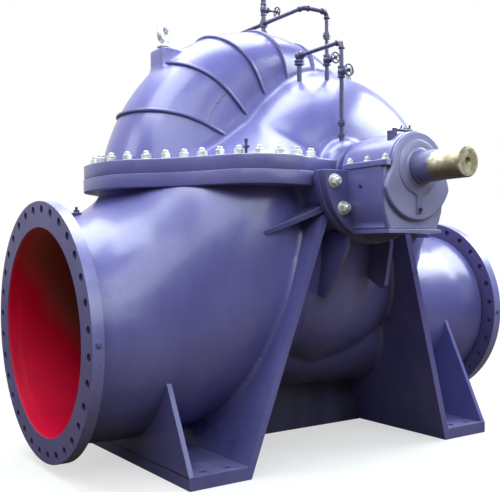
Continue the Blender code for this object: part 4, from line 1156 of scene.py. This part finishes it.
def swept(bm, route, radius, sides=18):
    """Round bar or pipe along a route, with both ends closed."""
    route = [Vector(point) for point in route]
    heading = (route[1] - route[0]).normalized()
    ring = bmesh.ops.create_circle(bm, segments=sides, radius=radius,
                                   matrix=Matrix.Translation(route[0]) @ turn_to(heading))["verts"]
    rim = list({edge for vert in ring for edge in vert.link_edges})
    ends = list(rim)
    for k in range(1, len(route)):
        last = route[min(k + 1, len(route) - 1)]
        out = (last - route[k - 1]).normalized()
        fresh = bmesh.ops.extrude_edge_only(bm, edges=rim)["geom"]
        ring = [g for g in fresh if isinstance(g, bmesh.types.BMVert)]
        rim = [g for g in fresh if isinstance(g, bmesh.types.BMEdge)]
        swing = heading.rotation_difference(out).to_matrix().to_4x4()
        place = Matrix.Translation(route[k]) @ swing @ Matrix.Translation(-route[k - 1])
        bmesh.ops.transform(bm, verts=ring, matrix=place)
        heading = out
    bmesh.ops.holes_fill(bm, edges=ends + rim, sides=0)


def jacking_screws_and_plugs():
    """Filler plug on the duct, two jacking screws in the split flange, and plugs in the housings' sides."""
    bm = bmesh.new()
    hexagon(bm, (FILLER_PLUG_X, 0, 1.462), UP, 0.030, 0.022)
    for low, high, radius, sides in ((1.42, 1.455, 0.036, 32), (1.47, 1.487, 0.017, 24),
                                     (1.485, 1.505, 0.008, 16)):
        rod(bm, (FILLER_PLUG_X, 0, low), (FILLER_PLUG_X, 0, high), radius, sides)
    for side in (-1, 1):
        x, y = JACKING_X, side * JACKING_Y
        rod(bm, (x, y, SHAFT_Z + 0.07), (x, y, SHAFT_Z + 0.155), 0.008, 16)
        hexagon(bm, (x, y, SHAFT_Z + 0.123), UP, 0.019, 0.013)
        rod(bm, (x, y, SHAFT_Z + 0.150), (x, y, SHAFT_Z + 0.165), 0.011, 6)
        for end in (-1, 1):
            y = side * HOUSING_PLUG_Y
            rod(bm, (end * 0.233, y, HOUSING_PLUG_Z), (end * 0.2415, y, HOUSING_PLUG_Z), 0.0115, 6)
    piece("jacking_screws_and_plugs", bm, PIPE_PAINT, bevel=0.001)


def flange_rim_plugs():
    bm = bmesh.new()
    for x, radius in ((-1.597, SUCTION_R), (1.517, DISCHARGE_R)):
        rod(bm, (x, -radius + 0.01, PIPE_Z), (x, -radius - 0.004, PIPE_Z), 0.017, 24)
        rod(bm, (x, -radius, PIPE_Z), (x, -radius - 0.012, PIPE_Z), 0.012, 6)
    piece("flange_rim_plugs", bm, PAINT, bevel=0.001)


def welded_seam():
    """Wavering seam between two ribs on the near flank of the volute."""
    bm = bmesh.new()
    route = [volute_point(degrees, 0.009, -0.0014) + Vector((shift, 0, -shift))
             for degrees, shift in zip(SEAM_ANGLES, SEAM_SHIFTS)]
    swept(bm, route, 0.0042, 10)
    piece("welded_seam", bm, SEAM_PAINT)


def lifting_eyes():
    """Forged eye bolts in the lugs, each with a collar on the lug's top."""
    for name, x, top in EYES:
        bm = bmesh.new()
        add_torus(bm, EYE_R, EYE_WIRE_R, 20, 64)
        place = (Matrix.Translation((x, 0, top + 0.094)) @ Matrix.Rotation(math.radians(28), 4, "Z")
                 @ Matrix.Rotation(math.pi / 2, 4, "X"))
        bmesh.ops.transform(bm, verts=bm.verts[:], matrix=place)
        turned(bm, [(0.0, 0.0), (0.040, 0.0), (0.042, 0.004), (0.040, 0.014), (0.028, 0.020),
                    (0.021, 0.034), (0.0195, 0.048), (0.0, 0.048)], (x, 0, top + 0.012), UP, 40)
        piece(name + "_lifting_eye", bm, ZINC, replaces=(name + "_eye_bolt",), angle=50)


# Small pipework

def rounded_route(points, bend, steps=7):
    """Points of a route whose corners are replaced by short arcs."""
    points = [Vector(point) for point in points]
    route = [points[0]]
    for before, corner, after in zip(points, points[1:], points[2:]):
        into = (corner - before).normalized()
        out = (after - corner).normalized()
        centre = corner - into * bend + out * bend
        for i in range(steps + 1):
            angle = math.pi / 2 * i / steps
            route.append(centre - out * bend * math.cos(angle) + into * bend * math.sin(angle))
    return route + [points[-1]]


def elbows(bm, points):
    """Screwed elbow over each corner of a pipe's route, with a beaded collar at both of its mouths."""
    points = [Vector(point) for point in points]
    reach = PIPE_BEND + 0.006
    collar = [(0.0, -0.007), (PIPE_R * 1.45, -0.007), (PIPE_R * 1.55, -0.004), (PIPE_R * 1.55, 0.003),
              (PIPE_R * 1.42, 0.007), (0.0, 0.007)]
    for before, corner, after in zip(points, points[1:], points[2:]):
        into = (corner - before).normalized()
        out = (after - corner).normalized()
        mouths = (corner - into * reach, corner + out * reach)
        swept(bm, rounded_route([mouths[0], corner, mouths[1]], PIPE_BEND), PIPE_R * 1.28)
        for mouth, way in zip(mouths, (into, -out)):
            turned(bm, collar, mouth, way, 20)


def pipe_run(bm, corners):
    swept(bm, rounded_route(corners, PIPE_BEND), PIPE_R)
    elbows(bm, corners)


def collars(bm, x, y, stack):
    """Hexagon collars on an upright pipe, each with its level, height and radius."""
    for z, height, radius in stack:
        hexagon(bm, (x, y, z), UP, radius, height)


def gate_valve(name, x, y, levels, side, stem_length, replaces):
    """Screwed gate valve on an upright pipe, with bonnet, gland and stem. Gives its wheel's place."""
    low, high = levels
    middle = Vector((x, y, (low + high) / 2))
    half = (high - low) / 2
    way = Vector((0, side, 0))
    bm = bmesh.new()
    turned(bm, [(0.0, -half), (0.016, -half), (0.017, -half * 0.55), (0.021, -half * 0.40), (0.0245, 0),
                (0.021, half * 0.40), (0.017, half * 0.55), (0.016, half), (0.0, half)], middle, UP, 32)
    for end in (-1, 1):
        hexagon(bm, middle + Vector((0, 0, end * (half - 0.008))), UP, 0.0235, 0.0155)
    turned(bm, [(0.0, 0.0), (0.019, 0.0), (0.018, 0.024), (0.0215, 0.025), (0.0215, 0.031), (0.014, 0.033),
                (0.0125, 0.040), (0.009, 0.042), (0.0085, 0.048), (0.0055, 0.049), (0.0055, stem_length),
                (0.0, stem_length)], middle, way, 24)
    hexagon(bm, middle + way * 0.0365, way, 0.0145, 0.007)
    piece(name, bm, PIPE_PAINT, bevel=0.0008, replaces=replaces)
    return middle + way * (stem_length + 0.0083)


def hand_wheel(name, at, axis, body, replaces):
    """Cast hand wheel with four spokes, a hub and the nut that holds it on its stem."""
    bm = bmesh.new()
    add_torus(bm, 0.0318, 0.0048, 12, 48)
    for i in range(4):
        angle = math.pi / 4 + math.pi / 2 * i
        out = Vector((math.cos(angle), math.sin(angle), 0))
        rod(bm, out * 0.006, out * 0.031, 0.0036, 10, 0.0030)
    turned(bm, [(0.0, -0.0078), (0.0100, -0.0078), (0.0108, -0.004), (0.0108, 0.005), (0.0095, 0.0085),
                (0.0, 0.0085)], (0, 0, 0), UP, 20)
    hexagon(bm, (0, 0, 0.0108), UP, 0.0068, 0.005)
    bmesh.ops.transform(bm, verts=bm.verts[:], matrix=Matrix.Translation(Vector(at)) @ turn_to(axis))
    piece(name + "_rim", bm, PIPE_PAINT, body=body, replaces=replaces)


def flush_line(side, name):
    """Flushing pipe from a chamber's dome to the stuffing box, with its valve and union."""
    x, drop = FLUSH_X, side * FLUSH_DROP_Y
    tap = side * FLUSH_TAP_Y
    low, high = FLUSH_VALVE_Z
    bm = bmesh.new()
    pipe_run(bm, [(x, tap, 2.39), (x, tap, FLUSH_TOP_Z), (x, drop, FLUSH_TOP_Z), (x, drop, high + GAP)])
    collars(bm, x, tap, ((2.4085, 0.014, 0.032), (2.4265, 0.014, 0.032)))
    turned(bm, [(0.0, -0.018), (0.024, -0.018), (0.030, -0.006), (0.030, 0.012), (0.022, 0.020),
                (0.0, 0.020)], (x, side * 0.352, 2.457), (0, side, 0), 28)
    piece(name + "_flush_run", bm, PIPE_PAINT, replaces=(name + "_flush_pipe",))
    wheel_at = gate_valve(name + "_flush_gate_body", x, drop, FLUSH_VALVE_Z, side, 0.055,
                          (name + "_flush_valve",))
    hand_wheel(name + "_flush_handwheel", wheel_at, (0, side, 0),
               "flush_handwheel" if side < 0 else "casing", (name + "_flush_wheel",))
    bm = bmesh.new()
    swept(bm, [(x, drop, low - GAP), (x, drop, 2.0083)], PIPE_R)
    piece(name + "_flush_drop", bm, PIPE_PAINT, replaces=(name + "_flush_dropper",))
    bm = bmesh.new()
    collars(bm, x, drop, ((1.979, 0.014, 0.022), (1.990, 0.012, 0.0255), (2.001, 0.013, 0.022)))
    piece(name + "_flush_coupling", bm, PIPE_PAINT, replaces=(name + "_flush_union",))
    bm = bmesh.new()
    swept(bm, [(x, drop, 1.9717), (x, drop, 1.9052)], PIPE_R)
    collars(bm, x, drop, ((1.916, 0.020, 0.021),))
    piece(name + "_flush_end", bm, PIPE_PAINT, replaces=(name + "_flush_tail",))


def balance_line(side, name):
    """Balance pipe from the vent's tee down to a chamber's dome, with its coupling and valve."""
    x, y = BALANCE_X, side * BALANCE_Y
    low, high = BALANCE_VALVE_Z
    bm = bmesh.new()
    pipe_run(bm, [(VENT_X, VENT_Y + side * 0.0223, BALANCE_TOP_Z), (VENT_X, y, BALANCE_TOP_Z),
                  (x, y, BALANCE_TOP_Z), (x, y, high + GAP)])
    collars(bm, x, y, ((2.566, 0.016, 0.022), (2.580, 0.014, 0.026), (2.593, 0.014, 0.022)))
    piece(name + "_balance_run", bm, PIPE_PAINT, replaces=(name + "_balance_pipe",))
    wheel_at = gate_valve(name + "_balance_gate_body", x, y, BALANCE_VALVE_Z, side, 0.075,
                          (name + "_balance_valve",))
    hand_wheel(name + "_balance_handwheel", wheel_at, (0, side, 0),
               "balance_handwheel" if side < 0 else "casing", (name + "_balance_wheel",))
    bm = bmesh.new()
    swept(bm, [(x, y, low - GAP), (x, y, 2.361)], PIPE_R)
    piece(name + "_balance_end", bm, PIPE_PAINT, replaces=(name + "_balance_tail",))


def vent():
    """Tee on the volute's crest, and the vent valve on it, whose wheel faces +X."""
    bm = bmesh.new()
    turned(bm, [(0.0, 0.0), (0.024, 0.0), (0.024, 0.012), (0.016, 0.014), (0.0155, 0.034), (0.0215, 0.036),
                (0.0220, 0.082), (0.0185, 0.084), (0.0185, 0.090), (0.0, 0.090)],
           (VENT_X, VENT_Y, 2.665), UP, 32)
    for side in (-1, 1):
        turned(bm, [(0.0, 0.0), (0.0205, 0.0), (0.0205, 0.021), (0.0, 0.021)],
               (VENT_X, VENT_Y, BALANCE_TOP_Z), (0, side, 0), 24)
    piece("vent_cross", bm, PIPE_PAINT, bevel=0.0008, replaces=("vent_tee",))
    bm = bmesh.new()
    turned(bm, [(0.0, 0.0), (0.015, 0.0), (0.015, 0.022), (0.0205, 0.024), (0.0205, 0.034), (0.0165, 0.036),
                (0.0215, 0.050), (0.0240, 0.0623), (0.0215, 0.076), (0.0165, 0.090), (0.0205, 0.092),
                (0.0205, 0.103), (0.014, 0.105), (0.014, 0.112), (0.0185, 0.114), (0.0185, 0.122),
                (0.010, 0.1245), (0.0, 0.1245)], (VENT_X, VENT_Y, VENT_VALVE_Z), UP, 32)
    turned(bm, [(0.0, 0.0), (0.018, 0.0), (0.017, 0.026), (0.0205, 0.027), (0.0205, 0.034), (0.0135, 0.036),
                (0.012, 0.046), (0.009, 0.048), (0.0085, 0.056), (0.0055, 0.057), (0.0055, 0.10),
                (0.0, 0.10)], (VENT_X, VENT_Y, VENT_STEM_Z), (1, 0, 0), 24)
    piece("vent_gate_body", bm, PIPE_PAINT, bevel=0.0008, replaces=("vent_valve",))
    hand_wheel("vent_handwheel", (VENT_X + VENT_STEM_LENGTH, VENT_Y, VENT_STEM_Z), (1, 0, 0),
               "vent_handwheel", ("vent_wheel",))


def pipe_nipples():
    """Short pipes that stand in the casing under each line."""
    bm = bmesh.new()
    rod(bm, (VENT_X, VENT_Y, 2.55), (VENT_X, VENT_Y, 2.6647), 0.022, 24)
    collars(bm, VENT_X, VENT_Y, ((2.652, 0.018, 0.030),))
    for side in (-1, 1):
        for x, y, low, high, radius in (
                (BALANCE_X, BALANCE_Y, 2.20, 2.3607, 0.0145), (FLUSH_X, FLUSH_TAP_Y, 2.20, 2.3897, 0.0150),
                (FLUSH_X, FLUSH_DROP_Y, 1.82, 1.9047, 0.0150)):
            rod(bm, (x, side * y, low), (x, side * y, high), radius, 20)
    piece("pipe_nipples", bm, PIPE_PAINT)


# Camera, light and floor

def photo_camera():
    """Camera where the photograph was taken from, with its field of view."""
    yaw, pitch, roll = (math.radians(a) for a in (CAMERA_YAW, CAMERA_PITCH, CAMERA_ROLL))
    ahead = Vector((math.sin(yaw) * math.cos(pitch), math.cos(yaw) * math.cos(pitch), math.sin(pitch)))
    right = Vector((math.cos(yaw), -math.sin(yaw), 0))
    up = right.cross(ahead)
    c, s = math.cos(roll), math.sin(roll)
    right, up = right * c + up * s, up * c - right * s
    lens = bpy.data.cameras.new("photo_camera")
    lens.lens = SENSOR_MM * FOCAL_PIXELS / PHOTO_WIDTH
    lens.sensor_width = SENSOR_MM
    lens.shift_x = (PHOTO_WIDTH / 2 - AXIS_PIXEL_X) / PHOTO_WIDTH
    lens.shift_y = (AXIS_PIXEL_Y - PHOTO_HEIGHT / 2) / PHOTO_WIDTH
    camera = bpy.data.objects.new("photo_camera", lens)
    place = Matrix((right, up, -ahead)).transposed().to_4x4()
    place.translation = Vector(CAMERA_PLACE)
    camera.matrix_world = place
    bpy.context.scene.collection.objects.link(camera)
    bpy.context.scene.camera = camera


def studio_floor():
    """Floor that the camera sees white, with soft shadows near the pump, and that throws a warm light."""
    bm = bmesh.new()
    bmesh.ops.create_grid(bm, x_segments=1, y_segments=1, size=30.0)
    floor = bpy.data.objects.new("floor", new_mesh(bm, "floor"))
    bpy.context.scene.collection.objects.link(floor)
    material, tree, shader, coords = start_material("floor_paint")
    shader.inputs["Roughness"].default_value = 0.9
    seen = node(tree, "ShaderNodeLightPath").outputs["Is Camera Ray"]
    colour = blend_colour(tree, seen, (0.13, 0.10, 0.06), (0.86, 0.86, 0.86))
    tree.links.new(colour, shader.inputs["Base Color"])
    away = node(tree, "ShaderNodeVectorMath", operation="LENGTH")
    tree.links.new(coords, away.inputs[0])
    white = node(tree, "ShaderNodeEmission")
    white.inputs["Color"].default_value = (1, 1, 1, 1)
    joined = node(tree, "ShaderNodeMixShader")
    distant = ramp_between(tree, scaled(tree, away.outputs["Value"], 0.1), 0.10, 0.34)
    tree.links.new(product(tree, seen, scaled(tree, distant, 0.45, 0.55)), joined.inputs[0])
    tree.links.new(shader.outputs[0], joined.inputs[1])
    tree.links.new(white.outputs[0], joined.inputs[2])
    tree.links.new(joined.outputs[0], tree.nodes["Material Output"].inputs["Surface"])
    floor.data.materials.append(material)


def studio_air():
    """White air for the camera, and a pale wall behind the pump for its reflections."""
    world = bpy.data.worlds.new("studio_air")
    world.use_nodes = True
    air = world.node_tree
    air.nodes["Background"].inputs["Color"].default_value = (1.0, 1.0, 1.0, 1)
    heading = split_xyz(air, node(air, "ShaderNodeTexCoord").outputs["Generated"])
    behind = scaled(air, ramp_between(air, heading["Y"], 0.0, 0.7), 0.85, 0.05)
    whole = node(air, "ShaderNodeMath", operation="MAXIMUM")
    air.links.new(node(air, "ShaderNodeLightPath").outputs["Is Camera Ray"], whole.inputs[0])
    air.links.new(behind, whole.inputs[1])
    air.links.new(whole.outputs[0], air.nodes["Background"].inputs["Strength"])
    bpy.context.scene.world = world
    bpy.context.scene.view_settings.view_transform = "Standard"


def studio_lamps():
    for name, spot, aim, size, watts in LAMPS:
        light = bpy.data.lights.new(name, "AREA")
        light.shape = "RECTANGLE"
        light.size, light.size_y = size
        light.energy = watts
        light.color = LAMP_COLOUR
        lamp = bpy.data.objects.new(name, light)
        lamp.location = spot
        lamp.rotation_euler = (Vector(aim) - Vector(spot)).to_track_quat("-Z", "Y").to_euler()
        bpy.context.scene.collection.objects.link(lamp)


photo_camera()
studio_floor()
studio_air()
studio_lamps()
lower_casing()
upper_casing()
split_flanges()
volute_ribs()
feet()
pipe_flange("suction_flange", SUCTION_FACE_X, SUCTION_BACK_X, SUCTION_R, SUCTION_BORE_R, SUCTION_PITCH_R,
            SUCTION_HOLES, SUCTION_HOLE_R)
pipe_flange("discharge_flange", DISCHARGE_FACE_X, DISCHARGE_BACK_X, DISCHARGE_R, DISCHARGE_BORE_R,
            DISCHARGE_PITCH_R, DISCHARGE_HOLES, DISCHARGE_HOLE_R)
suction_lining()
brackets()
bearing_ends()
fasteners()
for side, name in ENDS:
    flush_line(side, name)
    balance_line(side, name)
vent()
pipe_nipples()
jacking_screws_and_plugs()
flange_rim_plugs()
welded_seam()
lifting_eyes()
shaft()

# Finish of each CAD node. The last of these words that is in its name decides
NODE_FINISHES = (("wheel", PIPE_PAINT), ("flush", PIPE_PAINT), ("balance", PIPE_PAINT), ("vent", PIPE_PAINT),
                 ("bearing", HOUSING_PAINT), ("grease", HOUSING_PAINT), ("eye", ZINC), ("shaft", STEEL))
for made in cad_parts.values():
    finish = PAINT
    for word, paint in NODE_FINISHES:
        if word in made.name:
            finish = paint
    for slot in made.material_slots:
        slot.material = finish
